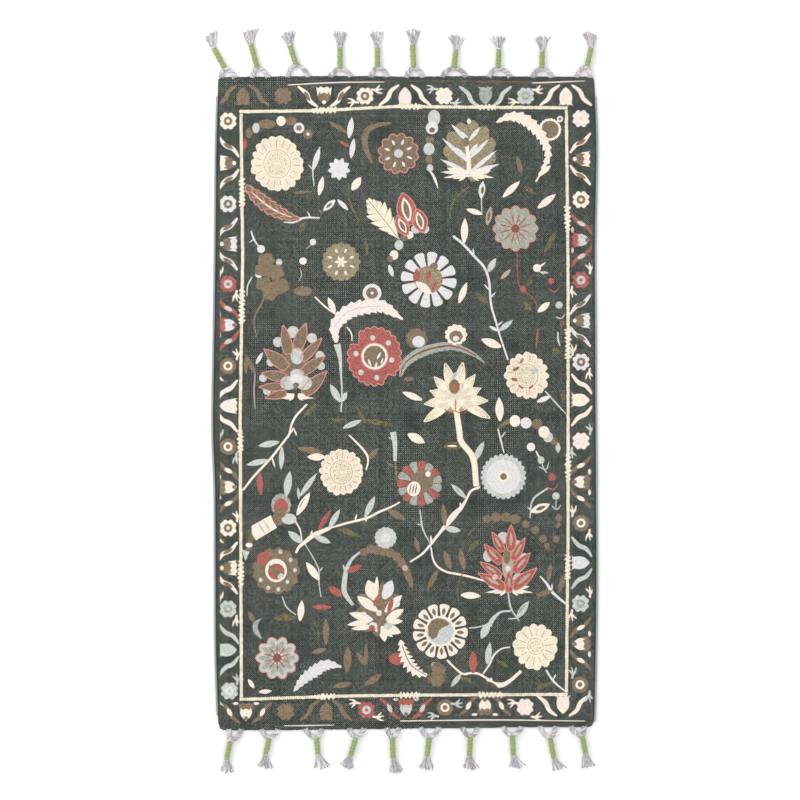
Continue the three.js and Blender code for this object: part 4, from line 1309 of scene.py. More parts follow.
@dataclass
class FrameWork:
    """Four rows of thick cream yarn round the field, with wavy stretches."""

    row_gap: float = 0.0017
    pace: float = 0.0054
    grain: tuple[float, float, float] = (0.0070, 0.0043, 0.0021)
    lean: float = 0.5
    wave_pace: float = 0.0049
    wave_grain: tuple[float, float, float] = (0.0160, 0.0056, 0.0028)
    wave_lean: float = 1.3
    wave_lift: float = 0.0046
    pad_width: float = 0.0056

    def build(self, material: bpy.types.Material) -> None:
        """Makes the four rows.

        Args:
            material: Material of their yarn.
        """
        # Millimetres: name, whether it runs along x, the line's points, and its wavy stretches.
        rows = (("head", True, ((-390, 686), (-210, 688), (-21, 698), (383, 695)),
                 ((-219, -162), (-12, 40), (172, 214))),
                ("foot", True, ((-390, -698), (-150, -690), (0, -688), (383, -686)),
                 ((-212, -165), (-12, 35), (174, 228))),
                ("left", False, ((-693, -385), (-30, -388), (350, -382), (681, -386)),
                 ((-431, -372), (-115, -64), (188, 266), (464, 532))),
                ("right", False, ((-681, 380), (-300, 384), (300, 384), (690, 380)),
                 ((-415, -358), (-184, -118), (104, 174), (404, 463))))
        for seed, (name, flat, line, waves) in enumerate(rows):
            work = Stitching(f"frame_yarn_{name}", seed + 10, unevenness=0.26)
            line = np.array(line, float) * MM

            def at(along: Points, line: Points = line, flat: bool = flat) -> Points:
                """Returns the places on the row's line at distances along it."""
                aside = np.interp(along, line[:, 0], line[:, 1])
                return np.column_stack([along, aside] if flat else [aside, along])

            whole = at(np.linspace(line[0, 0], line[-1, 0], 60))
            normal = across(whole)
            # Padding in the painted-shade yarn, which shows as shade between the grains.
            pad(work.mesh, np.vstack([whole + normal * self.pad_width / 2,
                                      (whole - normal * self.pad_width / 2)[::-1]]),
                0.0049, 0.0006)
            for side in (-1, 1):
                places, headings = paced(whole + normal * self.row_gap * side, self.pace)
                work.grains(places, headings + self.lean * side, *self.grain, Yarn.CREAM)
            for start, end in waves:
                stretch = at(np.linspace(start * MM, end * MM, 12))
                places, headings = paced(stretch, self.wave_pace)
                lean = self.wave_lean * np.where(np.arange(len(places)) % 2, 1, -1)
                work.grains(places, headings + lean, *self.wave_grain, Yarn.CREAM, self.wave_lift)
            work.finish("cream_yarn", material, (f"frame_stitch_{name}",))


@dataclass
class RosetteWork:
    """A round flower filled with rows of cream stitches that follow its petals."""

    name: str
    x: float
    y: float
    half_width: float
    half_length: float
    petals: int
    notch: float
    turn: float
    seed: int
    petal_start: float = 0.5
    lift: float = 0.0044
    row_step: float = 0.0034
    fill_step: float = 0.0056
    fill_pace: float = 0.0034
    grain: tuple[float, float, float] = (0.0062, 0.0034, 0.0013)
    tangle: float = 0.9
    swell: float = 0.035
    fill: Yarn = Yarn.BLUSH
    rim: Stitch = Stitch(0.00496, 0.0046, 0.0026, lift=0.0045, slant=0.35)
    # Thin lines of painted shade between the petals and in the groove round the heart.
    gap_shade_line: Stitch = Stitch(0.006, 0.0016, 0.001, Yarn.SHADE, 0.0054)
    groove_shade_line: Stitch = Stitch(0.006, 0.0013, 0.001, Yarn.SHADE, 0.0052)

    def loop(self, share: float, deeper: float = 1.0) -> Points:
        """Draws a closed line round the flower that follows its petals.

        Args:
            share: How far out it runs, 1 for the petals' tips.
            deeper: Share of the notches' depth that it follows.

        Returns:
            Points along it in metres.
        """
        count = self.petals * 10
        angle = np.arange(count) * 2 * np.pi / count
        wave = np.abs(np.cos(self.petals * (angle - np.pi / 2) / 2))
        # Each notch has its own depth and each petal its own length.
        depth, longer = np.random.default_rng(self.seed + 200).uniform(-1, 1, (2, self.petals))
        place = (np.arange(count) / 10 - self.petals / 4) % self.petals
        reach = share - self.notch * deeper * (1 - wave) * (1.1 + 0.7 * depth[place.astype(int)])
        petal = np.rint(place).astype(int) % self.petals
        reach += deeper * self.swell * share * (longer[petal] - 0.4)
        shape = np.column_stack([self.half_width * np.cos(angle), self.half_length * np.sin(angle)])
        return (turned(shape * reach[:, None], math.degrees(self.turn)) + (self.x, self.y)) * MM

    def build(self, material: bpy.types.Material, marks: tuple = ()) -> None:
        """Makes the flower.

        Args:
            material: Its yarn's material.
            marks: Coloured stitches on it: yarn, middle in chart squares, length and width in
                metres, and degrees.
        """
        # Painted shade on the grains, lighter than the default.
        work = Stitching(f"rosette_yarn_{self.name}", self.seed,
                         depth_shade=(0.46, 0.66, 0.98, 1.04))
        # Padding in the painted-shade yarn, which shows as shade between the stitches.
        pad(work.mesh, self.loop(0.97))
        radius = (self.half_width + self.half_length) / 2 * MM
        rows = int(round(radius * (1 - self.petal_start) / self.fill_step))
        length, width, height = self.grain
        for row in range(rows):
            share = 0.93 - (row + 0.3) * (1 - self.petal_start) / rows
            loop = self.loop(share, 1.0 if row < rows - 1 else 0.5)
            places, headings = paced(closed(loop), self.fill_pace)
            work.grains(places, headings + np.pi / 2, self.fill_step * 1.3, self.fill_pace * 1.1,
                        height, self.fill, self.lift)
        work.run(closed(self.loop(0.955)), self.rim)
        # Lines of painted shade in the notches between the petals, from the rim towards the heart.
        first = int(2.5 * self.petals + 5) % 10
        gaps = self.loop(0.9)[first::10], self.loop(self.petal_start + 0.1, 0)[first::10]
        for outer_end, inner_end in zip(*gaps):
            work.run(np.array([outer_end, inner_end]), self.gap_shade_line)
        inner = int(round(radius * self.petal_start / self.row_step))
        for row in range(1, inner):
            share = self.petal_start * row / inner
            loop = self.loop(share, 0)
            places, headings = paced(closed(loop), length * 0.7)
            headings = headings + work.chance.uniform(-self.tangle, self.tangle, len(places))
            work.grains(places, headings, length * 0.85, width * 1.0,
                        height * work.chance.uniform(1.2, 1.9), Yarn.CREAM, self.lift)
        # A ring of painted shade in the groove round the heart.
        work.run(closed(self.loop(self.petal_start * 0.98, 0)), self.groove_shade_line)
        middle = np.array([[self.x, self.y]]) * MM
        work.grains(middle.repeat(3, 0), np.array([0, 1.05, 2.1]), 0.006, 0.003, 0.0015,
                    Yarn.CREAM, 0.0046)
        # Dark specks of painted shadow where the stitches part round the heart.
        loop = self.loop(self.petal_start * 0.62, 0)
        places, headings = paced(closed(loop), 0.0105)
        headings = headings + work.chance.uniform(-self.tangle, self.tangle, len(places))
        work.grains(places, headings, 0.0034, 0.0016, 0.001, Yarn.BROWN, 0.0056)
        for yarn, chart, mark_length, mark_width, degrees in marks:
            add_mark(work, yarn, chart, mark_length, mark_width, degrees)
        work.finish("cream_yarn", material, (f"rosette_stitch_{self.name}",))


def add_mark(work: Stitching, yarn: Yarn, chart: Points, length: float, width: float,
             degrees: float) -> None:
    """Sews a small almond of coloured stitches.

    Args:
        work: The stitching that it belongs to.
        yarn: Its colour.
        chart: Its middle in chart squares.
        length: Its length.
        width: Its width.
        degrees: Direction of its length, anticlockwise from right.
    """
    ahead = np.array([math.cos(math.radians(degrees)), math.sin(math.radians(degrees))])
    side = np.array([-ahead[1], ahead[0]])
    rows = max(int(width / 0.0022), 1)
    for row in range(rows):
        aside = ((row + 0.5) / rows - 0.5) * width
        half = length / 2 * math.sqrt(max(1 - (2 * aside / width) ** 2, 0.2))
        middle = on_cloth(chart) + side * aside
        path = middle + ahead * np.linspace(-half, half, 4)[:, None]
        work.run(path, Stitch(0.0042, 0.0028, 0.0012, yarn, 0.0055))


@dataclass
class LotusWork:
    """A large fan-shaped flower filled with cream stitches, and its thick stem."""

    x: float = 120.0
    y: float = 7.0
    petals: int = 10
    first_angle: float = -28.0
    last_angle: float = 214.0
    top_angle: float = 93.0
    mean_reach: float = 80.0
    reach_swing: float = 15.0
    swing_period: float = 134.0
    notch: float = 48.0
    base_notch: float = 34.0
    base_drop: float = 32.0
    belly: float = 0.78
    belly_spread: float = 0.36
    stem_width: float = 13.0
    layers: tuple[float, ...] = (0.9, 0.83, 0.76, 0.69, 0.62)
    rim: Stitch = Stitch(0.0046, 0.0033, 0.0017, overlap=1.35)
    row: Stitch = Stitch(0.0046, 0.0027, 0.0012, overlap=1.35)
    rib: Stitch = Stitch(0.0048, 0.0027, 0.0013, lift=0.0045)
    arc: Stitch = Stitch(0.0048, 0.0028, 0.0012)
    red_line: Stitch = Stitch(0.0036, 0.0022, 0.001, Yarn.RED, 0.0056)
    link: Stitch = Stitch(0.0062, 0.0034, 0.0012, lift=0.0042, overlap=1.35)

    def petal(self, number: int) -> Points:
        """Draws one petal's edge from notch to tip to notch.

        Args:
            number: Which petal, counted from the right.

        Returns:
            Points along it in millimetres from the flower's middle.
        """
        spread = (self.last_angle - self.first_angle) / (self.petals - 1)
        angle = self.first_angle + number * spread
        swing = math.radians(360 * (angle - self.top_angle) / self.swing_period)
        reach = self.mean_reach + self.reach_swing * math.cos(swing)

        def at(radius: float, degrees: float) -> Points:
            """Returns the point at a distance and a direction."""
            return np.array([radius * math.cos(math.radians(degrees)),
                             radius * math.sin(math.radians(degrees))])

        starts = self.base_notch if number == 0 else self.notch
        ends = self.base_notch if number == self.petals - 1 else self.notch
        tip = at(reach, angle)
        parts = []
        for a, side, b in ((at(starts, angle - spread / 2), -1, tip),
                           (tip, 1, at(ends, angle + spread / 2))):
            belly = at(reach * self.belly, angle + side * spread * self.belly_spread)
            t = np.linspace(0, 1, 7)[:, None]
            parts.append((a * (1 - t) ** 2 + 2 * belly * t * (1 - t) + b * t**2)[
                (0 if side < 0 else 1):])
        return np.vstack(parts)

    def build(self, material: bpy.types.Material) -> None:
        """Makes the flower and its stem.

        Args:
            material: Material of its yarn.
        """
        work = Stitching("lotus_yarn", 31)
        centre = np.array([self.x, self.y])
        outline = [np.array([[0, -self.base_drop]])]
        for number in range(self.petals):
            edge = self.petal(number)
            outline.append(edge if number == 0 else edge[1:])
        outline = (np.vstack(outline) + centre) * MM
        # Padding in the painted-shade yarn, which shows as shade between the stitches.
        pad(work.mesh, outline)
        for number in range(self.petals):
            edge = self.petal(number)
            tip = edge[len(edge) // 2]
            # Each row is the petal's edge drawn in towards its own middle line.
            heart = tip * 0.42
            work.run((heart + (edge - heart) * 0.97 + centre) * MM, self.rim)
            for layer in self.layers:
                row = heart + (edge - heart) * (1 - (1 - layer) * 2.1)
                work.run((row + centre) * MM, self.row)
            rib = np.linspace(0.3, 0.86, 8)[:, None] * tip
            work.run((rib + centre) * MM, self.rib)
        for radius in np.arange(3.0, self.notch + 1, 2.8):
            start = -50 if radius < 32 else self.first_angle - 12
            angle = np.radians(np.linspace(start, 180 - start, 24))
            arc = np.column_stack([radius * np.cos(angle), radius * np.sin(angle)])
            work.run((arc + centre) * MM, self.arc)
        self.foot(work, centre)
        self.heart(work)
        self.stem(work)
        work.finish("cream_yarn", material, ("lotus_stitch",))

    def foot(self, work: Stitching, centre: Points) -> None:
        """Fills the pointed foot of the flower.

        Args:
            work: The flower's stitching.
            centre: Its middle in millimetres.
        """
        for offset in np.arange(-22, 22.1, 2.7):
            depth = -self.base_drop * (1 - abs(offset) / 30)
            path = np.array([[offset, 2.0], [offset * 0.9, depth * 0.5], [offset * 0.75, depth]])
            work.run((path + centre) * MM, self.arc)

    def heart(self, work: Stitching) -> None:
        """Sews the coloured heart and the red lines under it.

        Args:
            work: The flower's stitching.
        """
        add_mark(work, Yarn.BROWN, (454.3, 386.5), 0.034, 0.024, 90)
        add_mark(work, Yarn.RED, (454.5, 387.0), 0.019, 0.013, 90)
        add_mark(work, Yarn.SKY, (454.5, 375.5), 0.016, 0.009, 60)
        for points in ([(455.3, 399.5), (455.5, 411)],
                       [(444.5, 409.5), (447, 412), (450, 413), (455, 411), (461, 413.5),
                        (465, 412.5), (467.5, 409)]):
            work.run(on_cloth(smooth(points)), self.red_line)

    def stem(self, work: Stitching) -> None:
        """Fills the thick stem with rows of chain stitch.

        Args:
            work: The flower's stitching.
        """
        route = smooth(np.array([(120, -12), (128, -66), (133, -92), (160, -130), (168, -196)]), 8)
        route = route * MM
        normal = across(route)
        half = self.stem_width / 2 * MM
        pad(work.mesh, np.vstack([route + normal * half * 0.9, (route - normal * half * 0.9)[::-1]]),
            0.0048, 0.0006, Yarn.CREAM)
        for row in (-2, -1, 0, 1, 2):
            work.chain(route + normal * half * row * 0.4, self.link)


@dataclass
class LeafWork:
    """A serrated leaf of slanting cream stitches on both sides of a rib."""

    base: tuple[float, float] = (-14.0, 386.0)
    tip: tuple[float, float] = (-88.0, 480.0)
    half_width: float = 28.0
    teeth: int = 5
    grain_step: float = 0.0031
    fill: Stitch = Stitch(0.0062, 0.0031, 0.0013, overlap=1.3)
    # The rib is a line of painted shade where the two slanting fills meet.
    rib: Stitch = Stitch(0.006, 0.0024, 0.0012, Yarn.SHADE, 0.0049)

    def half(self, along: float) -> float:
        """Gives half the leaf's width, teeth included.

        Args:
            along: Share of its length from its base.

        Returns:
            Half the width in millimetres.
        """
        body = self.half_width * math.sin(math.pi * max(1 - along, 0) ** 0.75)
        saw = (along * (self.teeth + 0.6)) % 1
        body *= np.interp(along, (0.76, 0.84), (1.0, 0.62))
        return max(body * (0.74 + 0.30 * saw), 0.6)

    def build(self, material: bpy.types.Material) -> None:
        """Makes the leaf.

        Args:
            material: Material of its yarn.
        """
        work = Stitching("leaf_yarn", 41)
        base, tip = np.array(self.base), np.array(self.tip)
        axis = tip - base
        side = np.array([-axis[1], axis[0]]) / math.hypot(*axis)
        t = np.linspace(0.02, 0.98, 46)
        halves = np.array([self.half(s) for s in t])
        left = base + t[:, None] * axis + side * halves[:, None] * 0.94
        right = base + t[:, None] * axis - side * halves[:, None] * 0.94
        # Padding in the painted-shade yarn, which shows as shade between the stitches.
        pad(work.mesh, np.vstack([left, right[::-1]]) * MM, rounding=0.0004)
        count = int(math.hypot(*axis) * MM / self.grain_step * 1.15)
        for k in range(count):
            along = (k + 0.5) / count
            reach = self.half(along)
            for sign in (-1, 1):
                root = base + axis * max(along - 0.05, 0)
                end = base + axis * min(along + 0.05, 0.99) + side * sign * reach
                path = (root + (end - root) * np.linspace(0, 1, 3)[:, None]) * MM
                work.run(path, self.fill)
        # Painted shade along the leaf's middle, where the two fills part.
        rib = (base + axis * np.linspace(0, 0.95, 6)[:, None]) * MM
        work.run(rib, self.rib)
        work.finish("cream_yarn", material, ("leaf_stitch",))


@dataclass
class OutlineWork:
    """Fine pink chain stitch round printed petals."""

    stitch: Stitch = Stitch(0.0048, 0.0029, 0.0009, Yarn.PINK, 0.0039)

    def build(self, sewn: list[Points], material: bpy.types.Material) -> None:
        """Sews along printed outlines.

        Args:
            sewn: The outlines in chart squares.
            material: Material of the thread.
        """
        work = Stitching("pink_outlines", 51)
        for outline in sewn:
            work.run(on_cloth(outline), self.stitch)
        work.finish("printed_cotton", material)


def tube(path: Points, radii: Points, sides: int,
         upward: Points = (0, 0, 1.0)) -> tuple[Points, Points]:
    """Makes a round yarn along a path, closed at its ends.

    Args:
        path: Its middle line in three dimensions.
        radii: Its radius at each point.
        sides: Number of its sides.
        upward: A direction across the path, one for all of it or one for each point.

    Returns:
        Its points and its triangles.
    """
    ahead = np.gradient(path, axis=0)
    ahead /= np.maximum(np.linalg.norm(ahead, axis=1, keepdims=True), 1e-12)
    side = np.cross(ahead, upward)
    side /= np.maximum(np.linalg.norm(side, axis=1, keepdims=True), 1e-9)
    up = np.cross(side, ahead)
    angle = np.arange(sides) * 2 * np.pi / sides
    radii = np.broadcast_to(radii, len(path))
    ring = (side[:, None] * np.cos(angle)[None, :, None]
            + up[:, None] * np.sin(angle)[None, :, None])
    points = (path[:, None] + ring * radii[:, None, None]).reshape(-1, 3)
    faces = []
    for k in range(sides):
        after = (k + 1) % sides
        a = np.arange(len(path) - 1) * sides + k
        b = np.arange(len(path) - 1) * sides + after
        faces += [np.column_stack([a, b + sides, b]), np.column_stack([a, a + sides, b + sides])]
    first, ring, end = len(points), np.arange(sides), (len(path) - 1) * sides
    after = np.roll(ring, -1)
    faces += [np.column_stack([np.full(sides, first), ring, after]),
              np.column_stack([np.full(sides, first + 1), end + after, end + ring])]
    return np.vstack([points, path[:1], path[-1:]]), np.vstack(faces)


def shaded(colour: tuple[float, float, float], shades: Points) -> Points:
    """Returns a display colour at each of several shades, as linear light with a full alpha."""
    return np.hstack([np.array(linear(*colour)) * shades[:, None], np.ones((len(shades), 1))])


def hem_line(edge: Points, sign: int) -> Points:
    """Returns the part of the cloth's outline at one end, 1 the head and -1 the foot."""
    end = edge[edge[:, 1] * sign > HEM_START]
    return end[np.argsort(end[:, 0])]


@dataclass
class Tassel:
    """One tassel: two bundles of warp ends, a green wrap and a loose fan.

    Lengths are in millimetres and reach outwards from the rug's middle, as in the solids.
    """

    name: str
    feet: tuple[float, float]
    knot: tuple[float, float]
    neck: tuple[float, float]
    tip: tuple[float, float]
    out: int
    seed: int
    bundle_yarns: int = 5
    yarn_radius: float = 1.9
    twist_length: float = 22.0
    wrap_radius: float = 6.4
    wrap_start: float = -2.0
    wrap_pitch: float = 2.1
    thread_radius: float = 1.25
    rod_inset: float = 1.4
    fan_yarns: int = 11
    fan_half_width: float = 17.0
    fan_rounding: float = 4.0
    fan_root: float = 4.6
    fan_yarn_radius: float = 0.72
    stray: float = 2.5
    hair_radius: float = 0.35
    core_height: float = 6.4

    def __post_init__(self) -> None:
        """Starts its own row of chance values."""
        self.chance = np.random.default_rng(self.seed)

    def axes(self) -> tuple[Points, Points, Points, Points]:
        """Finds how the wrapped neck lies.

        Returns:
            The knot, the neck, and the directions along and across the wrap.
        """
        knot, neck = np.array(self.knot), np.array(self.neck)
        ahead = (neck - knot) / np.linalg.norm(neck - knot)
        return knot, neck, ahead, np.array([ahead[1], -ahead[0]])

    def strand(self, mesh: Mesh, path: Points, radii: Points, sides: int, tint: Points,
               upward: Points = (0, 0, 1.0)) -> None:
        """Adds one yarn whose path is in millimetres that reach outwards."""
        points, faces = tube(path, radii, sides, upward)
        mesh.add(points * (MM, self.out * MM, MM), faces[:, ::self.out], tint)

    def bundle_line(self, foot_x: float, edge: float) -> Points:
        """Draws the middle line of one bundle, from the hem to the knot.

        Args:
            foot_x: Place of its foot across the rug.
            edge: Place of the hem.

        Returns:
            Points along it.
        """
        knot_x, crown = self.knot[0], self.knot[1] - 3.0
        ahead = (foot_x + 0.12 * (knot_x - foot_x), edge + 0.6 * (crown - edge))
        aside = (knot_x + 0.4 * (foot_x - knot_x), crown)
        t = np.linspace(0, 1, 12)[:, None]
        foot, end = np.array([foot_x, edge - 2.0]), np.array([knot_x, crown])
        flat = (foot * (1 - t) ** 3 + 3 * np.array(ahead) * t * (1 - t) ** 2
                + 3 * np.array(aside) * t**2 * (1 - t) + end * t**3)
        rise = np.interp(t[:, 0], (0, 0.15, 0.6, 1), (2.4, 3.2, 4.6, 6.2))
        return np.column_stack([flat, rise])

    def plied(self, mesh: Mesh, line: Points, spread: Points, yarns: int, radius: float,
              turns: float, tint: Points, sides: int = 5) -> None:
        """Adds yarns twisted round a line.

        Args:
            mesh: Where they are added.
            line: The middle line in millimetres.
            spread: Distance of the yarns from it along the way.
            yarns: How many.
            radius: Their radius.
            turns: Turns that they make.
            tint: Their colour.
            sides: Sides of each yarn.
        """
        ahead = np.gradient(line, axis=0)
        side = np.cross(ahead, (0, 0, 1.0))
        side /= np.maximum(np.linalg.norm(side, axis=1, keepdims=True), 1e-9)
        share = travelled(line) / max(travelled(line)[-1], 1e-9)
        phase0 = self.chance.uniform(0, 6.28)
        for k in range(yarns):
            phase = phase0 + 2 * np.pi * (k / yarns + turns * share)
            path = line + side * (np.cos(phase) * spread)[:, None]
            path[:, 2] = np.maximum(path[:, 2] + np.sin(phase) * spread, radius + 0.02)
            shade = np.array([*(np.array(tint[:3]) * self.chance.uniform(0.46, 1.04)), 1.0])
            self.strand(mesh, path, radius, sides, shade)

    def yarn(self, edge: float, material: bpy.types.Material) -> None:
        """Makes the bundles, the core and the loose fan.

        Args:
            edge: Place of the hem.
            material: Material of the warp ends.
        """
        mesh = Mesh()
        tint = (*linear(230, 225, 228), 1.0)
        for foot_x in self.feet:
            line = self.bundle_line(foot_x, edge)
            length = travelled(line)[-1]
            spread = np.interp(np.linspace(0, 1, len(line)), (0, 0.25, 1), (5.0, 4.6, 3.2))
            self.plied(mesh, line, spread, self.bundle_yarns, self.yarn_radius,
                       length / self.twist_length, tint)
        knot, neck, ahead, side = self.axes()
        core = np.column_stack([np.linspace(knot - 4 * ahead, neck + 3 * ahead, 6),
                                np.full(6, self.core_height)])
        self.plied(mesh, core, np.full(6, 2.4), 4, 2.8, 0.8, tint, 6)
        for k in range(self.fan_yarns):
            share = 2 * k / (self.fan_yarns - 1) - 1
            reach = (np.array(self.tip) - neck) @ ahead
            reach += self.stray - self.fan_rounding * share**2
            reach += self.chance.uniform(-self.stray, self.stray)
            aside = (np.array(self.tip) - neck) @ side + share * self.fan_half_width
            start = neck - 1.5 * ahead + side * share * self.fan_root
            aside += self.chance.uniform(-self.stray, self.stray)
            bend = self.chance.uniform(-2.6, 2.6)
            t = np.linspace(0, 1, 9)
            flat = start + np.outer(t * (reach + 1.5), ahead) + np.outer(
                (aside - share * self.fan_root) * t**1.3 + bend * np.sin(np.pi * t), side)
            height = np.interp(t, (0, 0.35, 0.6, 1), (6.0 + 2.0 * (1 - share**2), 3.4, 1.7, 1.1))
            line = np.column_stack([flat, height])
            spread = np.interp(t, (0, 0.7, 1), (0.75, 0.7, 1.1))
            self.plied(mesh, line, spread, 2, self.fan_yarn_radius, 2.2, tint, 4)
            for _ in range(3):
                hair = line[-3:].copy()
                hair[-1, :2] += self.chance.uniform(-2.6, 2.6, 2) + ahead * 2.0
                hair[:, 2] = (1.1, 0.8, 0.5)
                self.plied(mesh, hair, np.zeros(3), 1, self.hair_radius, 0, tint, 3)
        obj = mesh.build(f"loose_yarn_{self.name}")
        settle(obj, material, (f"tassel_yarn_{self.name}",))

    def wrap(self, material: bpy.types.Material) -> None:
        """Makes the green thread wound round the neck.

        Args:
            material: Material of the thread.
        """
        mesh = Mesh()
        knot, neck, ahead, side = self.axes()
        length, start = np.linalg.norm(neck - knot), self.wrap_start
        turns = (length - start) / self.wrap_pitch
        t = np.linspace(0, 1, int(turns * 12))
        along = start + (length - start) * t
        radius = self.wrap_radius - 1.1 + 0.4 * np.sin(t * 19 + self.seed)
        radius -= 0.5 * np.abs(2 * t - 1) ** 6
        phase = 2 * np.pi * turns * t
        flat = knot + np.outer(along, ahead) + np.outer(radius * np.cos(phase), side)
        line = np.column_stack([flat, self.wrap_radius + 0.5 + radius * 0.94 * np.sin(phase)])
        aside = np.array([*side, 0.0])
        outward = np.outer(np.cos(phase), aside) + np.outer(np.sin(phase), (0, 0, 1.0))
        patchy = 0.78 + 0.3 * np.abs(np.sin(t * 23 + self.seed)) * np.abs(np.sin(phase * 0.37))
        patchy = np.append(np.repeat(patchy, 5), (1.0, 1.0))
        self.strand(mesh, line, self.thread_radius, 5, shaded((172, 187, 126), patchy), outward)
        rod = np.column_stack([np.linspace(knot + start * ahead, neck, 8),
                               np.full(8, self.core_height)])
        self.strand(mesh, rod, self.wrap_radius - self.rod_inset, 12, (*linear(112, 128, 72), 1.0))
        obj = mesh.build(f"green_wrap_{self.name}")
        settle(obj, material, (f"tassel_wrap_{self.name}",))


@dataclass
class Edges:
    """Pale selvedge cords along the sides, and dark weft loops along the hems."""

    cord_radius: float = 0.0027
    wrap_pitch: float = 0.0026
    stations: int = 4
    loop_pace: float = 0.0026
    loop: tuple[float, float, float] = (0.0062, 0.0026, 0.0026)
    corner: float = 0.016
    cord_out: float = 0.0009
    seam_in: float = 0.0036
    seam_rise: float = 0.0010
    seam_radius: float = 0.0014
    hem_in: float = 0.0018
    hem_wander: float = 0.0006
    hem_lift: float = 0.0006
    upper_shift: float = 0.0013
    upper_lift: float = 0.0019

    def selvedge(self, edge: Points, sign: int, material: bpy.types.Material) -> None:
        """Makes the cord along one side of the cloth.

        Args:
            edge: The cloth's outline.
            sign: 1 for the right side and -1 for the left.
            material: Its yarn's material.
        """
        name = "right" if sign > 0 else "left"
        side = edge[(edge[:, 0] * sign > 0.42) & (np.abs(edge[:, 1]) < 0.77 - self.corner)]
        side = side[np.argsort(side[:, 1])]
        step = self.wrap_pitch / self.stations
        at = np.arange(side[0, 1], side[-1, 1], step)
        reach = np.interp(at, side[:, 1], side[:, 0]) + sign * self.cord_out
        rough = np.random.default_rng(61 + sign).uniform(0.9, 1.08, len(at) // self.stations + 2)
        wrap = np.arange(len(at)) / self.stations
        girth = self.cord_radius * (0.88 + 0.12 * np.abs(np.sin(np.pi * wrap)))
        girth *= rough[wrap.astype(int)]
        path = np.column_stack([reach, at, np.full(len(at), self.cord_radius + 0.0001)])
        # Painted shade: the cord darkens in the groove between its wraps and at its end caps, and each
        # wrap's tone also varies at random.
        shade = np.repeat(0.55 + 0.45 * np.abs(np.sin(np.pi * wrap)) * rough[wrap.astype(int)], 8)
        mesh = Mesh()
        mesh.add(*tube(path, girth, 8), shaded((172, 174, 172), np.append(shade, (0.7, 0.7))))
        seam = path[::self.stations] + (-sign * self.seam_in, 0, self.seam_rise)
        mesh.add(*tube(seam, self.seam_radius, 6), Yarn.DUSK.colour())
        settle(mesh.build(f"selvedge_{name}"), material)

    def hem(self, edge: Points, sign: int, material: bpy.types.Material) -> None:
        """Makes the row of weft loops along one end of the cloth.

        Args:
            edge: The cloth's outline.
            sign: 1 for the head and -1 for the foot.
            material: Its yarn's material.
        """
        name = "head" if sign > 0 else "foot"
        end = hem_line(edge, sign)
        at = np.arange(end[0, 0], end[-1, 0], self.loop_pace)
        chance = np.random.default_rng(71 + sign)
        reach = np.interp(at, end[:, 0], end[:, 1]) - sign * self.hem_in
        reach = reach + chance.uniform(-self.hem_wander, self.hem_wander, len(at))
        work = Stitching(f"hem_loops_{name}", 81 + sign, shade_spread=0.3)
        length, width, height = self.loop
        places, outwards = np.column_stack([at, reach]), np.full(len(at), np.pi / 2)
        work.grains(places, outwards, length, width, height, Yarn.DUSK, self.hem_lift)
        work.grains(places + (self.upper_shift, 0), outwards, length * 0.8, width, height * 0.8,
                    Yarn.DUSK, self.upper_lift)
        work.finish("printed_cotton", material)


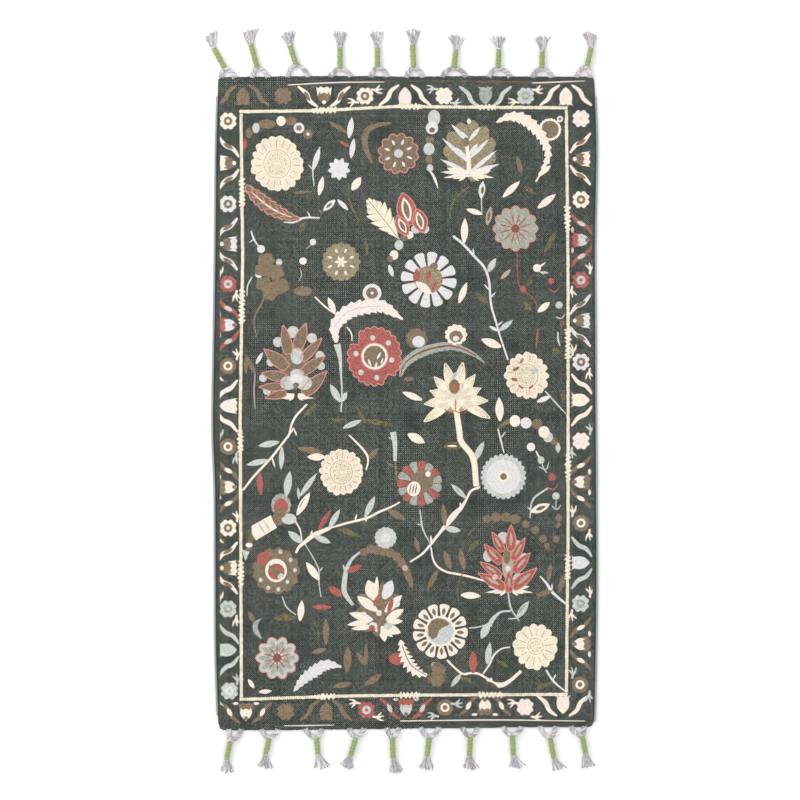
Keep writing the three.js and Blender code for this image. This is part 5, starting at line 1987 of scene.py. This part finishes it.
class Tree:
    """A material's nodes, added one by one."""

    def __init__(self, name: str, roughness: float, sheen: float) -> None:
        """Starts a material.

        Args:
            name: Its name.
            roughness: Its roughness.
            sheen: Weight of its sheen.
        """
        self.material = bpy.data.materials.new(name)
        self.material.use_nodes = True
        self.nodes = self.material.node_tree.nodes
        self.links = self.material.node_tree.links
        self.surface = self.nodes["Principled BSDF"]
        for socket, value in (("Roughness", roughness), ("Sheen Weight", sheen),
                              ("Sheen Roughness", 0.5), ("Specular IOR Level", 0.2)):
            self.surface.inputs[socket].default_value = value

    def node(self, kind: str, inputs: dict, **settings: object) -> bpy.types.Node:
        """Adds a node.

        Args:
            kind: Its type.
            inputs: Sockets or values for its inputs, by name or number.
            **settings: Its own options.

        Returns:
            The node.
        """
        node = self.nodes.new("ShaderNode" + kind)
        for name, value in settings.items():
            setattr(node, name, value)
        for key, value in inputs.items():
            if isinstance(value, bpy.types.NodeSocket):
                self.links.new(value, node.inputs[key])
            else:
                node.inputs[key].default_value = value
        return node

    def math(self, operation: str, *values: object) -> bpy.types.NodeSocket:
        """Adds a Math node and returns its value."""
        return self.node("Math", dict(enumerate(values)), operation=operation).outputs[0]

    def fma(self, first: object, second: object, third: object) -> bpy.types.NodeSocket:
        """Returns the first value times the second, plus the third."""
        return self.math("MULTIPLY_ADD", first, second, third)

    def times(self, first: object, second: object) -> bpy.types.NodeSocket:
        """Returns the product of two values."""
        return self.math("MULTIPLY", first, second)

    def ramp(self, value: object, low: float, high: float) -> bpy.types.NodeSocket:
        """Returns 0 below low and 1 above high, smoothly between."""
        inputs = {"Value": value, "From Min": low, "From Max": high}
        return self.node("MapRange", inputs, interpolation_type="SMOOTHSTEP").outputs["Result"]

    def mix(self, factor: object, first: object, second: object) -> bpy.types.NodeSocket:
        """Mixes two colours and returns the result."""
        return self.node("Mix", {0: factor, 6: first, 7: second}, data_type="RGBA").outputs[2]

    def shade(self, colour: object, amount: object) -> bpy.types.NodeSocket:
        """Multiplies a colour by an amount."""
        return self.node("VectorMath", {0: colour, "Scale": amount}, operation="SCALE").outputs[0]

    def place(self) -> bpy.types.NodeSocket:
        """Returns the place on the object."""
        return self.nodes.new("ShaderNodeTexCoord").outputs["Object"]

    def noise(self, place: object, scale: float, detail: float = 2.0,
              stretch: tuple[float, float, float] | None = None) -> bpy.types.NodeSocket:
        """Adds a noise value about 0.5.

        Args:
            place: Where it is read.
            scale: Its patches to a metre.
            detail: Its finer layers.
            stretch: What its place is multiplied by first.

        Returns:
            The value.
        """
        if stretch:
            place = self.node("Mapping", {"Vector": place, "Scale": stretch}).outputs[0]
        return self.node("TexNoise", {"Vector": place, "Scale": scale, "Detail": detail}).outputs[0]

    def speck(self, first: object, second: object) -> bpy.types.NodeSocket:
        """Adds an even chance value from -0.5 to 0.5 for each pair of whole numbers.

        Args:
            first: One of the pair.
            second: The other.

        Returns:
            The value.
        """
        pair = self.node("CombineXYZ", {0: first, 1: second}).outputs[0]
        node = self.node("TexWhiteNoise", {"Vector": pair}, noise_dimensions="2D")
        return self.math("SUBTRACT", node.outputs["Value"], 0.5)

    def attribute(self, name: str) -> bpy.types.Node:
        """Returns the node that reads a colour attribute."""
        return self.node("Attribute", {}, attribute_name=name)

    def finish(self, colour: object, height: object = None, distance: float = 0.0,
               strength: float = 0.0) -> bpy.types.Material:
        """Colours the surface and raises it by a height value.

        Args:
            colour: Its colour.
            height: Its height value, if it is raised.
            distance: What a height of 1 stands for, in metres.
            strength: Share of it that shows.

        Returns:
            The material.
        """
        self.links.new(colour, self.surface.inputs["Base Color"])
        if height is not None:
            bump = self.node("Bump", {"Height": height, "Distance": distance, "Strength": strength})
            self.links.new(bump.outputs[0], self.surface.inputs["Normal"])
        return self.material


@dataclass(frozen=True)
class PrintedWeave:
    """Plain weave of dark and light yarns under a heathered print."""

    yarn: float = 0.00252
    dark: tuple[float, float, float] = (40, 45, 44)
    light: tuple[float, float, float] = (181, 188, 173)
    green: tuple[float, float, float] = (104, 132, 88)
    blue: tuple[float, float, float] = (86, 106, 120)
    base: float = 0.042
    contrast: float = 0.58
    speckle: float = 0.30
    streak: float = 0.10
    rib: float = 0.16

    def build(self) -> bpy.types.Material:
        """Makes the woven ground and the print on it.

        Returns:
            The material.
        """
        t = Tree("printed_weave", 0.92, 0.08)
        place = t.place()
        split = t.node("SeparateXYZ", {0: place})
        u, v = (t.math("DIVIDE", split.outputs[k], self.yarn) for k in range(2))
        column, row = t.math("FLOOR", u), t.math("FLOOR", v)
        across_x, along_y = (t.math("SINE", t.times(way, math.pi)) for way in (u, v))
        checker = t.times(across_x, along_y)
        chance, warp, weft = t.speck(column, row), t.speck(column, 7.0), t.speck(11.0, row)
        zone = t.ramp(t.noise(place, 1.0, 2.0, (7, 2.2, 1)), 0.5, 0.66)
        tone = t.fma(checker, self.contrast, self.base)
        tone = t.fma(chance, self.speckle, tone)
        tone = t.fma(t.math("ADD", warp, weft), self.streak, tone)
        tone = t.math("ADD", tone, t.times(t.times(across_x, zone), self.rib))
        tone = t.ramp(tone, 0.0, 1.0)
        dark, light, green, blue = ((*linear(*colour), 1) for colour in (
            self.dark, self.light, self.green, self.blue))
        ground = t.mix(tone, dark, light)
        mottle = t.noise(place, 13.0, 3.0, (1, 0.8, 1))
        cool = t.noise(place, 9.0, 2.0, (1, 1.2, 1))
        ground = t.mix(t.times(t.ramp(mottle, 0.5, 0.68), 0.45), ground, t.mix(tone, dark, green))
        ground = t.mix(t.times(t.ramp(cool, 0.54, 0.7), 0.5), ground, t.mix(tone, dark, blue))
        # The print lets the weave through where its cover is low.
        dye = t.attribute("print")
        alpha = dye.outputs["Alpha"]
        bare = t.math("SUBTRACT", 1.0, alpha)
        heather = t.fma(t.fma(chance, 1.4, checker), t.fma(bare, 1.6, 0.05), 0.99)
        printed = t.shade(dye.outputs["Color"], heather)
        cover = t.fma(t.times(chance, bare), 2.2, alpha)
        cover = t.fma(t.times(checker, bare), -0.9, cover)
        cover = t.times(cover, t.math("GREATER_THAN", alpha, 0.05))
        cover = t.math("MINIMUM", t.math("MAXIMUM", cover, 0.0), 1.0)
        height = t.fma(chance, 0.3, t.math("ABSOLUTE", checker))
        return t.finish(t.mix(cover, ground, printed), height, 0.0005, 0.45)


@dataclass(frozen=True)
class SpunYarn:
    """Soft spun yarn whose colour comes from the mesh."""

    name: str
    mottle: float = 0.12
    fibre_scale: float = 900.0
    sheen: float = 0.1

    def build(self) -> bpy.types.Material:
        """Makes the mottled and fibrous yarn.

        Returns:
            The material.
        """
        t = Tree(self.name, 0.85, self.sheen)
        place = t.place()
        fibre = t.noise(place, self.fibre_scale, 3.0)
        drift = t.noise(place, 30.0)
        amount = t.fma(t.math("SUBTRACT", fibre, 0.5), 2 * self.mottle, 1.0)
        amount = t.fma(t.math("SUBTRACT", drift, 0.5), self.mottle, amount)
        colour = t.shade(t.attribute("tint").outputs["Color"], amount)
        return t.finish(colour, fibre, 0.0003, 0.5)


@dataclass(frozen=True)
class Studio:
    """A white floor, soft light and a camera that looks straight down."""

    lens: float = 85.0
    sensor: float = 36.0
    sky: float = 0.90
    key_power: float = 52.0
    fill_power: float = 17.0
    floor_side: float = 14.0

    def camera(self) -> None:
        """Sets the camera over the photograph's middle."""
        data = bpy.data.cameras.new("camera")
        data.lens, data.sensor_width = self.lens, self.sensor
        obj = linked("camera", data)
        x, y = on_cloth(np.array([FRAME_MIDDLE]))[0]
        distance = IMAGE_SIDE * PIXEL * self.lens / self.sensor
        obj.location = (x, y, distance + Cloth().thickness)
        data.clip_end = 50
        bpy.context.scene.camera = obj

    def lamp(self, name: str, place: tuple[float, float, float], size: float,
             power: float) -> None:
        """Adds a soft square lamp that faces the rug.

        Args:
            name: Its name.
            place: Its place.
            size: Its side.
            power: Its power in watts.
        """
        data = bpy.data.lights.new(name, "AREA")
        data.size, data.energy = size, power
        obj = linked(name, data)
        obj.location = place
        obj.rotation_euler = (-Vector(place)).to_track_quat("-Z", "Y").to_euler()
        obj.visible_camera = False

    def floor(self) -> None:
        """Makes the white floor."""
        bpy.ops.object.select_all(action="DESELECT")
        bpy.ops.mesh.primitive_plane_add(size=self.floor_side, location=(0, 0, -0.0004))
        obj = bpy.context.object
        obj.name = "floor"
        t = Tree("white_floor", 0.95, 0.0)
        t.surface.inputs["Specular IOR Level"].default_value = 0.0
        obj.data.materials.append(t.finish(t.mix(
            t.noise(t.place(), 3.0), (0.985, 0.985, 0.985, 1), (0.975, 0.975, 0.98, 1))))

    def build(self) -> None:
        """Makes the whole studio."""
        self.camera()
        self.floor()
        self.lamp("key", (-2.6, 1.8, 2.4), 1.6, self.key_power)
        self.lamp("fill", (2.4, -1.6, 3.4), 3.0, self.fill_power)
        world = bpy.data.worlds.new("studio")
        world.use_nodes = True
        sky = world.node_tree.nodes["Background"]
        sky.inputs["Color"].default_value = (1, 1, 1, 1)
        sky.inputs["Strength"].default_value = self.sky
        bpy.context.scene.world = world
        bpy.context.scene.view_settings.view_transform = "Standard"
        bpy.context.scene.view_settings.look = "None"


# Tassels in millimetres from the rug's middle, outwards: two feet, knot, neck and tip.
HEAD_TASSELS = (
    ((-433, -401), (-426, 791), (-450, 834), (-457, 867)),
    ((-360, -323), (-348, 791), (-363, 843), (-365, 876)),
    ((-277, -229), (-257, 798), (-271, 841), (-276, 871)),
    ((-176, -128), (-153, 789), (-153, 836), (-153, 871)),
    ((-80, -43), (-65, 793), (-65, 836), (-66, 871)),
    ((3, 42), (20, 791), (18, 843), (19, 876)),
    ((88, 143), (115, 791), (120, 829), (120, 862)),
    ((198, 247), (219, 790), (221, 831), (218, 860)),
    ((300, 346), (322, 789), (323, 827), (323, 860)),
    ((404, 437), (429, 795), (438, 835), (437, 868)))
FOOT_TASSELS = (
    ((-415, -386), (-412, 798), (-420, 839), (-420, 867)),
    ((-338, -300), (-320, 790), (-328, 826), (-327, 857)),
    ((-235, -196), (-208, 790), (-205, 826), (-195, 857)),
    ((-131, -97), (-116, 789), (-128, 829), (-137, 857)),
    ((-42, -14), (-30, 790), (-28, 835), (-20, 867)),
    ((38, 79), (57, 789), (52, 830), (51, 860)),
    ((135, 171), (154, 787), (152, 830), (156, 860)),
    ((231, 274), (253, 784), (255, 829), (265, 856)),
    ((318, 355), (342, 790), (350, 834), (364, 861)),
    ((391, 422), (418, 786), (425, 824), (433, 855)))


def build_tassels(edge: Points, yarn: bpy.types.Material, thread: bpy.types.Material) -> None:
    """Makes all tassels.

    Args:
        edge: The cloth's outline.
        yarn: Material of the warp ends.
        thread: Material of the green wraps.
    """
    for end, out, rows in (("head", 1, HEAD_TASSELS), ("foot", -1, FOOT_TASSELS)):
        hem = hem_line(edge, out)
        for index, (feet, knot, neck, tip) in enumerate(rows):
            tassel = Tassel(f"{end}_{index + 1:02d}", feet, knot, neck, tip, out,
                            100 + index + 50 * (out < 0))
            reach = np.interp(knot[0] * MM, hem[:, 0], hem[:, 1]) * out / MM
            tassel.yarn(reach, yarn)
            tassel.wrap(thread)


def build_rosettes(material: bpy.types.Material) -> None:
    """Makes the four embroidered round flowers.

    Args:
        material: Material of their yarn.
    """
    RosetteWork("head", -301, 563, 64, 68, 19, 0.10, 0.2, 21).build(material)
    RosetteWork("left", -150, -163, 53, 56, 18, 0.09, 0.1, 22).build(material)
    marks = ((Yarn.BROWN, (521.5, 361), 0.016, 0.006, 62),
             (Yarn.BROWN, (516, 369), 0.018, 0.007, 25),
             (Yarn.BROWN, (514.5, 379.5), 0.017, 0.007, -12),
             (Yarn.RED, (521, 387), 0.014, 0.0045, -30),
             (Yarn.RED, (531, 387), 0.013, 0.0045, 40),
             (Yarn.SKY, (535, 371), 0.016, 0.012, 20))
    RosetteWork("right", 286, 64, 54, 57, 16, 0.11, 0.0, 23).build(material, marks)
    RosetteWork("foot", 307, -573, 54, 57, 14, 0.12, 0.1, 24, petal_start=0.34,
                fill=Yarn.CREAM).build(material)


def main() -> None:
    """Builds the rug's pieces in order, then the studio."""
    logging.basicConfig(level=logging.INFO, format="%(message)s")
    Studio().build()
    cloth = Cloth()
    edge = cloth.outline()
    border, field_design = BorderDesign(), FieldDesign()
    border.draw()
    field_design.draw()
    sheet = cloth.build(border.patches + field_design.patches)
    settle(sheet, PrintedWeave().build(), ("rug_cloth",), False)
    cream = SpunYarn("cream_yarn").build()
    warp = SpunYarn("warp_yarn", mottle=0.16).build()
    green = SpunYarn("green_thread", mottle=0.14).build()
    weft = SpunYarn("weft_yarn", mottle=0.2).build()
    FrameWork().build(cream)
    build_rosettes(cream)
    LotusWork().build(cream)
    LeafWork().build(cream)
    OutlineWork().build(border.sewn + field_design.sewn, cream)
    edges = Edges()
    for sign in (-1, 1):
        edges.selvedge(edge, sign, warp)
        edges.hem(edge, sign, weft)
    build_tassels(edge, warp, green)


if __name__ == "__main__":
    main()
